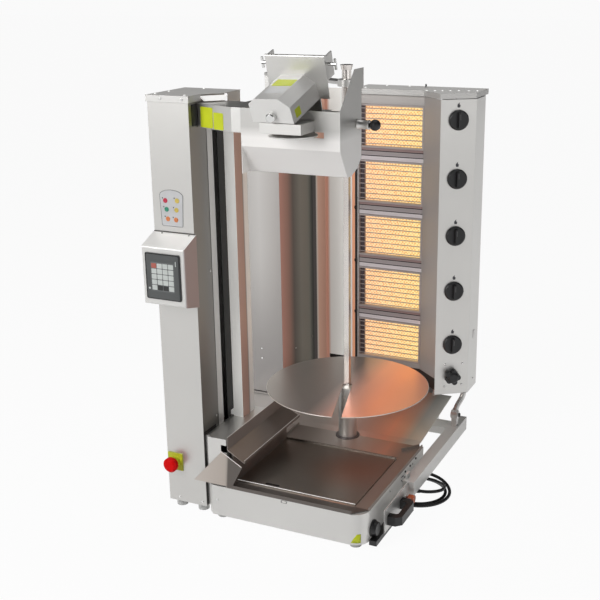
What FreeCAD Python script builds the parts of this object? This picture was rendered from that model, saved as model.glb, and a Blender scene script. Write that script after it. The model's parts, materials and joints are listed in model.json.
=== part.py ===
import FreeCAD, Part
import math
import os
import re

import Sketcher

V = FreeCAD.Vector

# Driving dimensions, in millimetres and degrees. Places are measured from the left front foot of the column:
# X to the right, Y to the back, Z up. origin_x and origin_y move them to the middle of the footprint.
SIZES = {
    "origin_x": 292.5, "origin_y": 347.8,
    "sheet_wall": 1.5, "fit_gap": 0.05, "seat_gap": 0.3,
    # column
    "column_width": 115, "column_depth": 174, "foot_height": 20, "foot_radius": 15, "foot_inset": 24,
    "foot_cable_room": 106,
    "lid_top": 1104, "lid_overhang": 3, "lid_skirt": 16, "lid_flare_x": 160, "lid_flare_start": 55,
    "lid_flare_end": 98, "lid_flare_drop": 29, "lid_flange_front": 112,
    "slot_front": 108, "slot_back": 166, "slot_bottom": 216, "slot_top": 1078, "tongue_gap": 2,
    "rail_strip_front": 77, "rail_strip_depth": 0.7,
    # lift inside the column
    "guide_rod_radius": 6, "guide_rod_x": 40, "guide_rod_front": 62, "guide_rod_back": 117,
    "guide_block_right": 100, "guide_block_front": 42, "guide_block_height": 16, "guide_bottom": 205,
    "screw_radius": 7, "screw_x": 74, "screw_y": 90, "carriage_left": 20,
    "motor_side": 60, "motor_height": 146, "motor_boss_radius": 14, "motor_boss_height": 18,
    # side block and heat post
    "block_left": 134, "block_right": 189, "block_front": -12, "block_back": 215, "block_top": 233,
    "filler_front": 10, "filler_back": 150, "filler_top": 225,
    "block_wall": 2, "notch_width": 16, "notch_bottom": 196, "notch_height": 20, "notch_depth": 20,
    "post_left": 131, "post_right": 160, "post_front": 134, "post_back": 197, "post_top": 1012,
    "post_wall": 2,
    # control box and its touch panel
    "hmi_left": -2, "hmi_right": 121, "hmi_depth": 60, "hmi_low_back": 580, "hmi_low_front": 595,
    "hmi_high_front": 742, "hmi_high_back": 767, "hmi_rounding": 5, "hmi_wall": 2.5,
    "panel_left": 9, "panel_right": 109, "panel_bottom": 610, "panel_top": 728, "panel_thickness": 3,
    "estop_plate_left": 2.5, "estop_plate_right": 47, "estop_plate_bottom": 112, "estop_plate_top": 161,
    "estop_plate_thickness": 3, "estop_collar_radius": 15, "estop_collar_length": 9,
    "estop_cap_radius": 20, "estop_cap_length": 17, "estop_travel": 4, "estop_stem_radius": 7,
    # plinth
    "base_left": 135, "base_right": 580, "base_front": -26, "base_back": 410, "base_top": 104,
    "base_corner": 38, "base_chamfer": 14,
    "rear_left": -55, "rear_right": 500, "rear_back": 790, "slope_start": 440, "slope_end": 713,
    "slope_rise": 34,
    "tray_left": 193, "tray_back": 402, "tray_thickness": 3, "tray_rim": 7, "tray_rim_width": 3,
    "wing_tip_x": 96, "wing_bottom": 109, "wing_root_x": 210, "wing_right_x": 236, "wing_right_z": 164,
    "wing_top_x": 173, "wing_top_z": 196, "wing_thickness": 2, "wing_lean": 8, "wing_lip": 4,
    "insert_left": 206, "insert_right": 540, "insert_front": 13, "insert_back": 301, "insert_thickness": 2.5,
    "insert_slot_x": 300, "insert_slot_length": 38, "insert_slot_width": 7, "insert_slot_y": 28,
    "insert_ridge": 4,
    "flange_x": 534, "flange_y": 354, "flange_length": 58, "flange_height": 9, "flange_angle": 39.4,
    # chute
    "chute_left": 190, "chute_right": 240, "chute_front": -9, "chute_back": 317, "chute_top": 238,
    "chute_floor_left": 202, "chute_floor_right": 176, "chute_wall": 1.5, "chute_support_x": 196.3,
    "chute_lip": 6,
    # spit, plate and drive
    "spit_x": 354, "spit_y": 396, "spit_side": 14.5, "hub_radius": 26, "hub_bottom": 91, "hub_socket": 18,
    "plate_bottom": 258.5, "plate_radius": 229, "plate_thickness": 3, "plate_slot": 26,
    "plate_slot_angle": 286, "spit_square_top": 1036, "spit_round_radius": 12.5, "spit_top": 1140,
    "cap_radius": 17, "cap_height": 13,
    "hub_stub_radius": 10, "hub_stub_length": 28, "bearing_radius": 34, "bearing_height": 5,
    "bearing_sleeve": 31, "gearmotor_width": 110, "gearmotor_depth": 80, "gearmotor_top": 84,
    "top_arm_z": 1103, "top_arm_thickness": 8, "top_arm_width": 44, "top_arm_boss": 24,
    "mast_x": 45, "mast_y": 562, "mast_side": 26,
    # rear cabinet and rear wall
    "cabinet_right": 70, "cabinet_front": 550, "cabinet_back": 780, "cabinet_top": 1020,
    "wall_right": 272, "wall_top": 1049, "wall_thickness": 2, "wall_rib_left": 87, "wall_rib_right": 119,
    "wall_rib_depth": 12, "wall_slot_left": 125, "wall_slot_right": 178, "wall_slot_bottom": 180,
    "wall_slot_height": 13,
    # burner unit
    "burner_left": 277, "burner_right": 478, "burner_front": 655, "burner_back": 757,
    "burner_bottom": 236, "burner_top": 1048, "mask_left": 258, "casing_left": 279, "casing_side": 17,
    "casing_bottom": 251, "strip_depth": 4,
    "casing_height": 125, "casing_pitch": 161.3, "casing_count": 5, "casing_rim": 5, "casing_depth": 50,
    "guard_wire_radius": 1.3, "guard_wire_count": 8, "ceramic_depth": 12, "ceramic_inset": 14,
    "ceramic_groove": 1.5, "leg_width": 5, "leg_bottom": 156, "leg_start": 16, "leg_spacing": 28,
    "face_left_x": 546, "face_left_y": 597, "face_right_x": 630, "face_right_y": 653,
    "control_back": 738, "control_bottom": 185, "control_top": 1048,
    "lid_bottom": 1050, "lid_height": 15, "lid_back": 764, "lid_margin": 6,
    "gas_knob_radius": 28, "gas_knob_depth": 20, "gas_knob_low": 340, "gas_knob_pitch": 163,
    "gas_knob_shaft": 4, "gas_knob_bar": 9, "star_knob_z": 243, "star_knob_radius": 23,
    "star_knob_depth": 26, "manifold_radius": 9, "manifold_inset": 60, "valve_radius": 8,
    "injector_radius": 5,
    # side frame
    "bar_left": 588, "bar_right": 620, "bar_bottom": 50, "bar_top": 90, "bar_front": 221, "bar_back": 690,
    "bar_wall": 2, "cross_front": 600, "cross_back": 655, "cross_left": 508, "cross_bottom": 62,
    "cross_top": 84, "post_bar_x": 605, "post_bar_y": 617, "pivot_z": 125, "pivot_radius": 13,
    "pivot_seat": 141,
    "tube_radius": 8, "side_plate_left": 601, "side_plate_thickness": 3, "side_plate_front": 52,
    "side_plate_lap": 7, "side_plate_bottom": 24, "side_plate_top": 88, "shoe_front": 150, "shoe_back": 228,
    "rail_right": 600, "rail_front": 7, "rail_back": 279, "rail_bottom": 10.5, "rail_top": 24,
    "handle_reach": 36, "handle_front": 69, "handle_length": 112, "handle_bar": 15, "handle_low": 40,
    "handle_height": 24, "handle_corner": 14, "handle_leg": 21, "handle_bevel": 4,
    "release_y": 196, "release_z": 56, "release_radius": 10.5, "release_length": 16,
    "release_travel": 5, "release_stem_radius": 4, "release_sleeve_radius": 9, "release_sleeve": 6,
    "switch_y": 30, "switch_z": 47, "switch_radius": 22, "switch_depth": 15, "switch_shaft": 4,
    # arm, hood and cutter
    "arm_wall": 3, "arm_bottom": 1026, "arm_top": 1084, "arm_root_x": 117, "arm_root_y": 38,
    "arm_bend_x": 150,
    "arm_bend_y": 106, "arm_back_x": 190, "arm_back_y": 109, "arm_hood_y": 92, "tongue_right": 146,
    "tongue_bottom": 1034, "tongue_back": 130,
    "hood_left": 233, "hood_plate_left": 258, "hood_right": 511, "hood_fold": 995, "hood_low": 930,
    "hood_low_y": 37, "hood_peak": 1171, "hood_peak_front": 80, "hood_peak_back": 133,
    "hood_notch_z": 1132, "hood_back_y": 120, "hood_front_y": -3, "hood_slot_left": 338,
    "hood_slot_right": 471, "hood_slot_bottom": 1023.5, "hood_slot_top": 1037, "shelf_right": 440,
    "shelf_z": 1072, "shelf_back": 110,
    "plunger_y": 96, "plunger_z": 1045, "plunger_sleeve": 22, "plunger_sleeve_radius": 10,
    "plunger_shaft": 4, "plunger_ball": 13, "plunger_out": 555, "plunger_travel": 8,
    "head_x": 381, "head_y": -80, "head_z": 1078, "head_tilt": 17, "head_length": 140,
    "head_wall": 2, "head_motor_radius": 22, "yoke_half_left": 73, "yoke_half_right": 77,
    "yoke_thickness": 3, "yoke_top": 84, "yoke_flange": 43, "yoke_flange_low": 28, "yoke_roll": 4,
    "yoke_tongue": 54, "yoke_foot": 15, "wing_screw_radius": 4, "wing_screw_length": 20,
    "wing_screw_height": 62, "wing_screw_in": 18, "wing_span": 13,
    "cutter_left": 345, "cutter_right": 448, "cutter_front": -74, "cutter_bottom": 1038.5,
    "cutter_top": 1062, "blade_x": 402, "blade_y": -5, "blade_radius": 56, "blade_z": 1028,
    "blade_thickness": 3, "blade_shaft": 6, "slice_knob_radius": 11, "slice_knob_depth": 12,
    "slice_knob_shaft": 3,
    # cable
    "cable_diameter": 9, "cable_rise": 0.3, "gland_y": 284, "gland_z": 34, "gland_radius": 8,
    "gland_length": 13,
    "coil_x": 591.3, "coil_y": 335.6, "coil_radius": 68, "coil_pitch": 12, "coil_start": 67.2,
    "coil_turns": 2.063, "coil_drop": 9, "coil_lift": 11.4, "coil_climb": 70, "lead_end": 19,
    "plug_radius": 16, "plug_length": 46, "pin_radius": 2.4, "pin_length": 19, "pin_spacing": 19,
    "screw_head_radius": 3, "screw_head_height": 1.2,
}

os.makedirs("parts", exist_ok=True)
doc = FreeCAD.newDocument("doner_grill")
sheet = doc.addObject("Spreadsheet::Sheet", "sizes")
for row, (alias, number) in enumerate(SIZES.items(), start=1):
    sheet.set("A%d" % row, alias)
    sheet.set("B%d" % row, str(number))
    sheet.setAlias("B%d" % row, alias)
doc.recompute()

# Corners of two bent pieces, in millimetres: the cable's from its gland, the tube's from its top and its foot.
LEAD_CORNERS = [(41.5, 0, 0), (66.3, 12.9, -2), (82.2, 36, -6), (85.4, 63.8, -11), (75.1, 89.9, -16)]
TUBE_CORNERS = [(15, 36, 8), (13, 31, -12), (3, 8, -36), (-1, -2, -56)]
BEND_SHARE = 0.45

NODES = []
NORMAL = {"XY": "z", "XZ": "y", "YZ": "x"}
AXIS_TURN = {
    "+Z": FreeCAD.Rotation(),
    "+X": FreeCAD.Rotation(V(0, 1, 0), 90),
    "-Y": FreeCAD.Rotation(V(1, 0, 0), 90),
    "+Y": FreeCAD.Rotation(V(1, 0, 0), -90),
}


def size(alias):
    """The sheet's number under one alias."""
    return float(sheet.get(alias))


def named(text):
    """An expression with the sheet's name before each of its aliases."""
    return re.sub(r"[a-z][a-z_]*", lambda m: "sizes." + m.group() if m.group() in SIZES else m.group(), text)


def bind(target, prop, text):
    target.setExpression(prop, named(str(text)))


def place(target, x="0", y="0", z="0"):
    bind(target, "Placement.Base.x", x)
    bind(target, "Placement.Base.y", y)
    bind(target, "Placement.Base.z", z)


def box(name, xs, ys, zs):
    """A block between two limits along each axis."""
    block = doc.addObject("Part::Box", name)
    bind(block, "Length", "(%s) - (%s)" % (xs[1], xs[0]))
    bind(block, "Width", "(%s) - (%s)" % (ys[1], ys[0]))
    bind(block, "Height", "(%s) - (%s)" % (zs[1], zs[0]))
    place(block, xs[0], ys[0], zs[0])
    return block


def rod(name, axis, start, radius, length):
    """A cylinder from a start point along one axis."""
    cylinder = doc.addObject("Part::Cylinder", name)
    cylinder.Placement = FreeCAD.Placement(V(), AXIS_TURN[axis])
    bind(cylinder, "Radius", radius)
    bind(cylinder, "Height", length)
    place(cylinder, *start)
    return cylinder


def ring(name, axis, start, outer, inner, length):
    """A tube section: one cylinder less another."""
    return cut(name, rod(name + "_outer", axis, start, outer, length),
               rod(name + "_bore", axis, start, inner, length))


def fuse(name, *pieces):
    joined = doc.addObject("Part::MultiFuse", name)
    joined.Shapes = list(pieces)
    return joined


def cut(name, base, *tools):
    """One shape less the others."""
    result = doc.addObject("Part::Cut", name)
    result.Base = base
    result.Tool = tools[0] if len(tools) == 1 else fuse(name + "_tools", *tools)
    return result


def group(name, *pieces):
    """Separate solids kept side by side."""
    compound = doc.addObject("Part::Compound", name)
    compound.Links = list(pieces)
    return compound


def profile(body, name, plane, outline):
    """A closed sketch whose corners are all bound to the sheet."""
    sketch = body.newObject("Sketcher::SketchObject", name)
    support = [feature for feature in body.Origin.OriginFeatures if feature.Role == plane + "_Plane"]
    sketch.AttachmentSupport = [(support[0], "")]
    sketch.MapMode = "FlatFace"
    count = len(outline)
    turns = [2 * math.pi * i / count for i in range(count)]
    starts = [V(math.cos(turn), math.sin(turn), 0) for turn in turns]
    for i in range(count):
        sketch.addGeometry(Part.LineSegment(starts[i], starts[(i + 1) % count]), False)
    for i in range(count):
        sketch.addConstraint(Sketcher.Constraint("Coincident", i, 2, (i + 1) % count, 1))
    for i, corner in enumerate(outline):
        for kind, start, text in (("DistanceX", starts[i].x, corner[0]),
                                  ("DistanceY", starts[i].y, corner[1])):
            number = sketch.addConstraint(Sketcher.Constraint(kind, -1, 1, i, 1, start))
            bind(sketch, "Constraints[%d]" % number, text)
    return sketch


def prism(name, plane, outline, depth, start="0"):
    """A flat outline on one plane, padded along the plane's positive normal."""
    body = doc.addObject("PartDesign::Body", name)
    sketch = profile(body, name + "_profile", plane, outline)
    pad = body.newObject("PartDesign::Pad", name + "_pad")
    pad.Profile = sketch
    pad.Reversed = plane == "XZ"
    bind(pad, "Length", depth)
    body.Tip = pad
    bind(body, "Placement.Base." + NORMAL[plane], start)
    return body


def turned(name, outline):
    """A piece of revolution about Z from an outline of radius and height."""
    body = doc.addObject("PartDesign::Body", name)
    sketch = profile(body, name + "_profile", "XZ", outline)
    revolution = body.newObject("PartDesign::Revolution", name + "_turn")
    revolution.Profile = sketch
    revolution.ReferenceAxis = (sketch, ["V_Axis"])
    revolution.Angle = 360
    body.Tip = revolution
    return body


def round_edges(body, name, radius, chosen):
    """Round the edges of a body's last feature that the test picks."""
    doc.recompute()
    last = body.Tip
    edges = ["Edge%d" % (i + 1) for i, edge in enumerate(last.Shape.Edges) if chosen(edge)]
    fillet = body.newObject("PartDesign::Fillet", name)
    fillet.Base = (last, edges)
    bind(fillet, "Radius", radius)
    body.Tip = fillet


def along(edge, axis):
    """Whether a straight edge runs along an axis."""
    first, last = edge.Vertexes[0].Point, edge.Vertexes[-1].Point
    return abs((last - first).normalize().dot(axis)) > 0.99


def node(label, shape):
    """Name a sub-part and bring it into the object's own frame."""
    shape.Label = label
    place(shape, "-origin_x", "-origin_y")
    NODES.append(shape)


def node_at(label, shape, point, turn):
    """Name a sub-part that is drawn in a frame of its own."""
    shape.Label = label
    origin = V(size("origin_x"), size("origin_y"), 0)
    shape.Placement = FreeCAD.Placement(point - origin, turn)
    NODES.append(shape)


# Plinth, feet, tray and sheets

def base_shell():
    def outline(inset):
        left, front = "base_left + " + inset, "base_front + " + inset
        return [(left + " + base_chamfer", front), ("base_right - " + inset, front),
                ("base_right - " + inset, "base_back - " + inset), (left, "base_back - " + inset),
                (left, front + " + base_chamfer")]

    def at_corner(edge):
        middle = edge.CenterOfMass
        near = middle.x > size("base_right") - 5 and middle.y < size("base_front") + 5
        return near and along(edge, V(0, 0, 1))

    def rear(name, inset):
        return prism(name, "YZ", [
            ("base_back", "foot_height + " + inset), ("rear_back - " + inset, "foot_height + " + inset),
            ("rear_back - " + inset,
             "base_top + slope_rise * (rear_back - slope_start) / (slope_end - slope_start)"
             " - 2 * " + inset),
            ("slope_start", "base_top - " + inset), ("base_back", "base_top - " + inset)],
            "rear_right - rear_left - 2 * " + inset, "rear_left + " + inset)

    outer = prism("base_outer", "XY", outline("0"), "base_top - foot_height", "foot_height")
    round_edges(outer, "base_corner_round", "base_corner", at_corner)
    inner = prism("base_inner", "XY", outline("sheet_wall"), "base_top - foot_height - 2 * sheet_wall",
                  "foot_height + sheet_wall")
    round_edges(inner, "base_inner_round", "base_corner - sheet_wall", at_corner)
    whole = fuse("base_whole", outer, rear("rear_outer", "0"))
    passage = box("base_passage", ("base_left + 40", "rear_right - 40"), ("base_back - 10", "base_back + 10"),
                  ("foot_height + sheet_wall", "base_top - sheet_wall"))
    hub_hole = rod("base_hub_hole", "+Z", ("spit_x", "spit_y", "base_top - 2 * sheet_wall"),
                   "bearing_sleeve + seat_gap", "3 * sheet_wall")
    gland_hole = rod("base_gland_hole", "+X", ("base_right - 3 * sheet_wall", "gland_y", "gland_z"),
                     "cable_diameter / 2", "5 * sheet_wall")
    switch_hole = rod("base_switch_hole", "+X", ("base_right - 3 * sheet_wall", "switch_y", "switch_z"),
                      "switch_shaft + fit_gap", "5 * sheet_wall")
    node("base_shell", cut("base_hollow", whole, inner, rear("rear_inner", "sheet_wall"), passage, hub_hole,
                           gland_hole, switch_hole))


def feet():
    pads = []
    left, right = "base_left + foot_inset", "base_right - foot_inset - base_chamfer"
    front, back = "base_front + foot_inset + base_chamfer", "base_back - foot_inset"
    spots = [(left, front), (right, front), (left, back), (right + " - foot_cable_room", back)]
    spots += [(x, y) for x in ("foot_inset", "column_width - foot_inset")
              for y in ("foot_inset", "column_depth - foot_inset")]
    spots += [(x, "rear_back - foot_inset") for x in ("rear_left + foot_inset", "rear_right - foot_inset")]
    for i, (x, y) in enumerate(spots):
        pads.append(rod("foot_%d" % i, "+Z", (x, y, "0"), "foot_radius", "foot_height"))
    node("feet", group("feet_group", *pads))


def drip_tray():
    level = "base_top + tray_thickness"
    plate = box("tray_plate", ("tray_left", "base_right"), ("base_front", "tray_back"), ("base_top", level))
    rim = cut("tray_rim_frame",
              box("tray_rim_outer", ("tray_left", "base_right"), ("base_front", "tray_back"),
                  (level, level + " + tray_rim")),
              box("tray_rim_inner", ("tray_left + tray_rim_width", "base_right - tray_rim_width"),
                  ("base_front + tray_rim_width", "tray_back + 1"), (level, level + " + 2 * tray_rim")))
    corner = prism("tray_corner_stock", "XY", [
        ("base_right - base_corner", "base_front - 1"), ("base_right + 1", "base_front - 1"),
        ("base_right + 1", "base_front + base_corner")], "60", "base_top - 20")
    wing = prism("wing_plate", "XZ", [
        ("wing_tip_x", "0"), ("wing_root_x", "0"), ("wing_right_x", "wing_right_z - wing_bottom"),
        ("wing_top_x", "wing_top_z - wing_bottom")], "wing_thickness")
    lip = prism("wing_edge", "XZ", [
        ("wing_top_x", "wing_top_z - wing_bottom"), ("wing_right_x", "wing_right_z - wing_bottom"),
        ("wing_right_x", "wing_right_z - wing_bottom + wing_lip"),
        ("wing_top_x", "wing_top_z - wing_bottom + wing_lip")], "wing_thickness")
    funnel = fuse("wing_funnel", wing, lip)
    lean = FreeCAD.Rotation(V(1, 0, 0), -size("wing_lean"))
    funnel.Placement = FreeCAD.Placement(V(), lean)
    place(funnel, "0", "base_front + 1 - wing_thickness", "wing_bottom")
    flange = box("tray_flange", ("0", "tray_rim_width"), ("0", "flange_length"), ("0", "flange_height"))
    flange.Placement = FreeCAD.Placement(V(), FreeCAD.Rotation(V(0, 0, 1), -size("flange_angle")))
    place(flange, "flange_x", "flange_y", level)
    hole = rod("tray_hub_hole", "+Z", ("spit_x", "spit_y", "base_top - 1"), "bearing_radius + 1", "20")
    trimmed = cut("tray_trimmed", fuse("tray_stock", plate, rim, flange), hole, corner)
    node("drip_tray", fuse("tray_whole", trimmed, funnel))


def tray_insert():
    level = "base_top + tray_thickness"
    plate = box("insert_plate", ("insert_left", "insert_right"), ("insert_front", "insert_back"),
                (level, level + " + insert_thickness"))
    slot = box("insert_slot",
               ("insert_slot_x - insert_slot_length / 2", "insert_slot_x + insert_slot_length / 2"),
               ("insert_slot_y - insert_slot_width / 2", "insert_slot_y + insert_slot_width / 2"),
               (level + " - 1", level + " + 10"))
    ridge = box("insert_ridge", ("insert_left", "insert_right"), ("insert_back - 4", "insert_back"),
                (level, level + " + insert_thickness + insert_ridge"))
    node("tray_insert", cut("insert_whole", fuse("insert_stock", plate, ridge), slot))


def rear_drip_sheet():
    outline = [("tray_back + 2", "base_top"), ("slope_start", "base_top"),
               ("slope_end", "base_top + slope_rise"), ("slope_end", "base_top + slope_rise + sheet_wall"),
               ("slope_start", "base_top + sheet_wall"), ("tray_back + 2", "base_top + sheet_wall")]
    sloped = prism("sheet_sloped", "YZ", outline, "base_right - 16 - rear_left", "rear_left")
    clear_left = box("sheet_clear_left", ("rear_left - 1", "base_left"), ("tray_back", "base_back"),
                     ("0", "200"))
    clear_cabinet = box("sheet_clear_cabinet", ("rear_left - 1", "cabinet_right"),
                        ("cabinet_front", "slope_end + 1"), ("0", "200"))
    hole = rod("sheet_hub_hole", "+Z", ("spit_x", "spit_y", "base_top - 1"), "bearing_radius + 1", "20")
    node("rear_drip_sheet", cut("sheet_whole", sloped, clear_left, clear_cabinet, hole))


def side_block():
    block = box("block_body", ("block_left", "block_right"), ("block_front", "block_back"),
                ("base_top", "block_top"))
    filler = box("block_filler", ("column_width", "block_left"), ("filler_front", "filler_back"),
                 ("foot_height + 2", "filler_top"))
    room = box("block_room", ("block_left + block_wall", "block_right - block_wall"),
               ("block_front + block_wall", "block_back - block_wall"),
               ("base_top - 1", "block_top - block_wall"))
    filler_room = box("filler_room", ("column_width - 1", "block_left - block_wall"),
                      ("filler_front + block_wall", "filler_back - block_wall"),
                      ("foot_height + 2 + block_wall", "filler_top - block_wall"))
    notch = box("block_notch", ("block_right - notch_width", "block_right + 1"),
                ("block_front - 1", "block_front + notch_depth"),
                ("notch_bottom", "notch_bottom + notch_height"))
    node("side_block", cut("block_whole", fuse("block_stock", block, filler), room, filler_room, notch))


# Column with its lift

def column_shell():
    top = "lid_top - sheet_wall"
    outer = box("column_outer", ("0", "column_width"), ("0", "column_depth"), ("foot_height", top))
    inner = box("column_inner", ("sheet_wall", "column_width - sheet_wall"),
                ("sheet_wall", "column_depth - sheet_wall"), ("foot_height + sheet_wall", "lid_top"))
    slot = box("column_slot", ("column_width - 4 * sheet_wall", "column_width + 1"),
               ("slot_front", "slot_back"),
               ("slot_bottom", "slot_top"))
    strip = box("column_strip", ("column_width - rail_strip_depth", "column_width + 1"),
                ("rail_strip_front", "slot_front + 1"), ("slot_bottom", "slot_top"))
    node("column_shell", cut("column_whole", outer, inner, slot, strip))


def column_lid():
    def outline(inset):
        edge = "lid_overhang - " + inset
        return [("-(%s)" % edge, "-(%s)" % edge), ("column_width + " + edge, "-(%s)" % edge),
                ("column_width + " + edge, "lid_flare_start"), ("lid_flare_x - " + inset, "lid_flare_end"),
                ("lid_flare_x - " + inset, "column_depth + " + edge),
                ("-(%s)" % edge, "column_depth + " + edge)]

    outer = prism("lid_outer", "XY", outline("0"), "lid_skirt", "lid_top - lid_skirt")
    inner = prism("lid_inner", "XY", outline("sheet_wall"), "lid_skirt", "lid_top - lid_skirt - sheet_wall")
    gap = box("lid_gap", ("column_width - 2", "lid_flare_x + 1"), ("lid_flare_start", "column_depth + 4"),
              ("lid_top - lid_skirt - 1", "lid_top - sheet_wall"))
    flange = box("lid_flange", ("lid_flare_x - sheet_wall", "lid_flare_x"),
                 ("lid_flange_front", "column_depth"),
                 ("lid_top - lid_flare_drop", "lid_top"))
    node("column_lid", fuse("lid_whole", cut("lid_cut", outer, inner, gap), flange))


def slot_cover():
    node("slot_cover", group("slot_cover_group", box(
        "slot_cover_strip", ("column_width - 2 * sheet_wall", "column_width - sheet_wall"),
        ("tongue_back + tongue_gap", "column_depth - sheet_wall"), ("slot_bottom - 10", "slot_top + 8"))))


def guide_blocks(name, z):
    """One end block of the guide, bored for both rods and the screw."""
    block = box(name, ("sheet_wall", "guide_block_right"),
                ("guide_block_front", "guide_rod_back + 20"), (z, z + " + guide_block_height"))
    bore = rod(name + "_bore", "+Z", ("screw_x", "screw_y", z + " - 1"), "screw_radius + fit_gap",
               "guide_block_height + 2")
    return cut(name + "_bored", block, bore)


def guide_frame():
    high = "lid_top - sheet_wall - guide_block_height - 2"
    rods = [rod("guide_rod_%d" % i, "+Z", ("guide_rod_x", y, "guide_bottom + 4"), "guide_rod_radius",
                high + " + 8 - guide_bottom") for i, y in enumerate(("guide_rod_front", "guide_rod_back"))]
    node("guide_frame", fuse("guide_whole", guide_blocks("guide_low", "guide_bottom"),
                             guide_blocks("guide_high", high), *rods))


def lift_motor():
    low = "foot_height + sheet_wall"
    body = box("lift_motor_box", ("screw_x - motor_side / 2", "screw_x + motor_side / 2"),
               ("screw_y - motor_side / 2", "screw_y + motor_side / 2"), (low, low + " + motor_height"))
    boss = rod("lift_motor_boss", "+Z", ("screw_x", "screw_y", low + " + motor_height"), "motor_boss_radius",
               "motor_boss_height")
    bore = rod("lift_motor_bore", "+Z", ("screw_x", "screw_y", low + " + motor_height - 4"),
               "screw_radius + fit_gap", "motor_boss_height + 10")
    node("lift_motor", cut("lift_motor_whole", fuse("lift_motor_stock", body, boss), bore))


def lift_screw():
    low = "foot_height + sheet_wall + motor_height - 4 + seat_gap"
    node("lift_screw", group("lift_screw_group", rod(
        "lift_screw_rod", "+Z", ("screw_x", "screw_y", low), "screw_radius",
        "lid_top - 2 * sheet_wall - 2 - (%s)" % low)))


def lift_carriage():
    block = box("carriage_block", ("carriage_left", "guide_block_right"),
                ("guide_block_front + 6", "tongue_back"), ("arm_bottom", "arm_top - 6"))
    bores = [rod("carriage_bore_%d" % i, "+Z", (x, y, "arm_bottom - 1"), radius + " + fit_gap", "80")
             for i, (x, y, radius) in enumerate((("guide_rod_x", "guide_rod_front", "guide_rod_radius"),
                                                 ("guide_rod_x", "guide_rod_back", "guide_rod_radius"),
                                                 ("screw_x", "screw_y", "screw_radius")))]
    node("lift_carriage", cut("carriage_whole", block, *bores))


# Control box, touch panel and emergency stop

def hmi_housing():
    body = prism("hmi_body", "YZ", [
        ("0", "hmi_low_back"), ("0", "hmi_high_back"), ("-hmi_depth", "hmi_high_front"),
        ("-hmi_depth", "hmi_low_front")], "hmi_right - hmi_left", "hmi_left")
    round_edges(body, "hmi_round", "hmi_rounding",
                lambda edge: edge.CenterOfMass.y < -size("hmi_depth") + 1)
    room = prism("hmi_room", "YZ", [
        ("1", "hmi_low_back + 2 * hmi_wall"), ("1", "hmi_high_back - 2 * hmi_wall"),
        ("hmi_wall - hmi_depth", "hmi_high_front - hmi_wall"),
        ("hmi_wall - hmi_depth", "hmi_low_front + hmi_wall")],
        "hmi_right - hmi_left - 2 * hmi_wall", "hmi_left + hmi_wall")
    node("hmi_housing", cut("hmi_whole", body, room))


def hmi_panel():
    body = prism("hmi_panel_body", "XZ", [
        ("panel_left", "panel_bottom"), ("panel_right", "panel_bottom"), ("panel_right", "panel_top"),
        ("panel_left", "panel_top")], "panel_thickness", "-hmi_depth - panel_thickness")
    round_edges(body, "hmi_panel_round", "panel_thickness * 1.5", lambda edge: along(edge, V(0, 1, 0)))
    node("hmi_panel", group("hmi_panel_group", body))


def estop():
    x = "(estop_plate_left + estop_plate_right) / 2"
    z = "(estop_plate_bottom + estop_plate_top) / 2"
    front = "estop_plate_thickness + estop_collar_length"
    plate = box("estop_plate_square", ("estop_plate_left", "estop_plate_right"),
                ("-estop_plate_thickness", "0"),
                ("estop_plate_bottom", "estop_plate_top"))
    collar = rod("estop_collar", "-Y", (x, "-estop_plate_thickness", z), "estop_collar_radius",
                 "estop_collar_length")
    bore = rod("estop_bore", "-Y", (x, "-1", z), "estop_stem_radius + fit_gap", "40")
    node("estop_plate", cut("estop_plate_whole", fuse("estop_plate_stock", plate, collar), bore))
    cap = turned("estop_cap", [
        ("0", "0"), ("estop_stem_radius", "0"), ("estop_stem_radius", "9"), ("estop_cap_radius - 3", "9"),
        ("estop_cap_radius", "13"), ("estop_cap_radius", "6 + estop_cap_length"),
        ("estop_cap_radius - 5", "11 + estop_cap_length"), ("0", "11.5 + estop_cap_length")])
    cap.Label = "estop_cap"
    cap.Placement = FreeCAD.Placement(V(), AXIS_TURN["-Y"])
    place(cap, x, "-(%s) + 9 - estop_travel - seat_gap" % front, z)
    node("estop_button", group("estop_button_group", cap))


# Spit, plate and drive

def spit_drive():
    hub = rod("hub_body", "+Z", ("spit_x", "spit_y", "hub_bottom"), "hub_radius", "plate_bottom - hub_bottom")
    stub = rod("hub_stub", "+Z", ("spit_x", "spit_y", "hub_bottom - hub_stub_length"), "hub_stub_radius",
               "hub_stub_length + 1")
    half = "spit_side / 2"
    bar = box("spit_bar", ("spit_x - " + half, "spit_x + " + half), ("spit_y - " + half, "spit_y + " + half),
              ("plate_bottom - hub_socket", "spit_square_top"))
    socket = box("hub_socket_cut", ("spit_x - " + half, "spit_x + " + half),
                 ("spit_y - " + half, "spit_y + " + half), ("plate_bottom - hub_socket", "plate_bottom + 1"))
    set_screw = rod("hub_set_screw", "-Y", ("spit_x", "spit_y - hub_radius + 2", "plate_bottom - 30"), "4",
                    "4")
    node("spit_hub", fuse("hub_whole", cut("hub_cut", fuse("hub_stock", hub, stub), socket), set_screw))
    round_top = rod("spit_round", "+Z", ("spit_x", "spit_y", "spit_square_top"), "spit_round_radius",
                    "spit_top - spit_square_top")
    cap = doc.addObject("Part::Cone", "spit_cap")
    bind(cap, "Radius1", "spit_round_radius + 1")
    bind(cap, "Radius2", "cap_radius")
    bind(cap, "Height", "cap_height")
    place(cap, "spit_x", "spit_y", "spit_top")
    node("spit", fuse("spit_whole", bar, round_top, cap))


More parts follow.
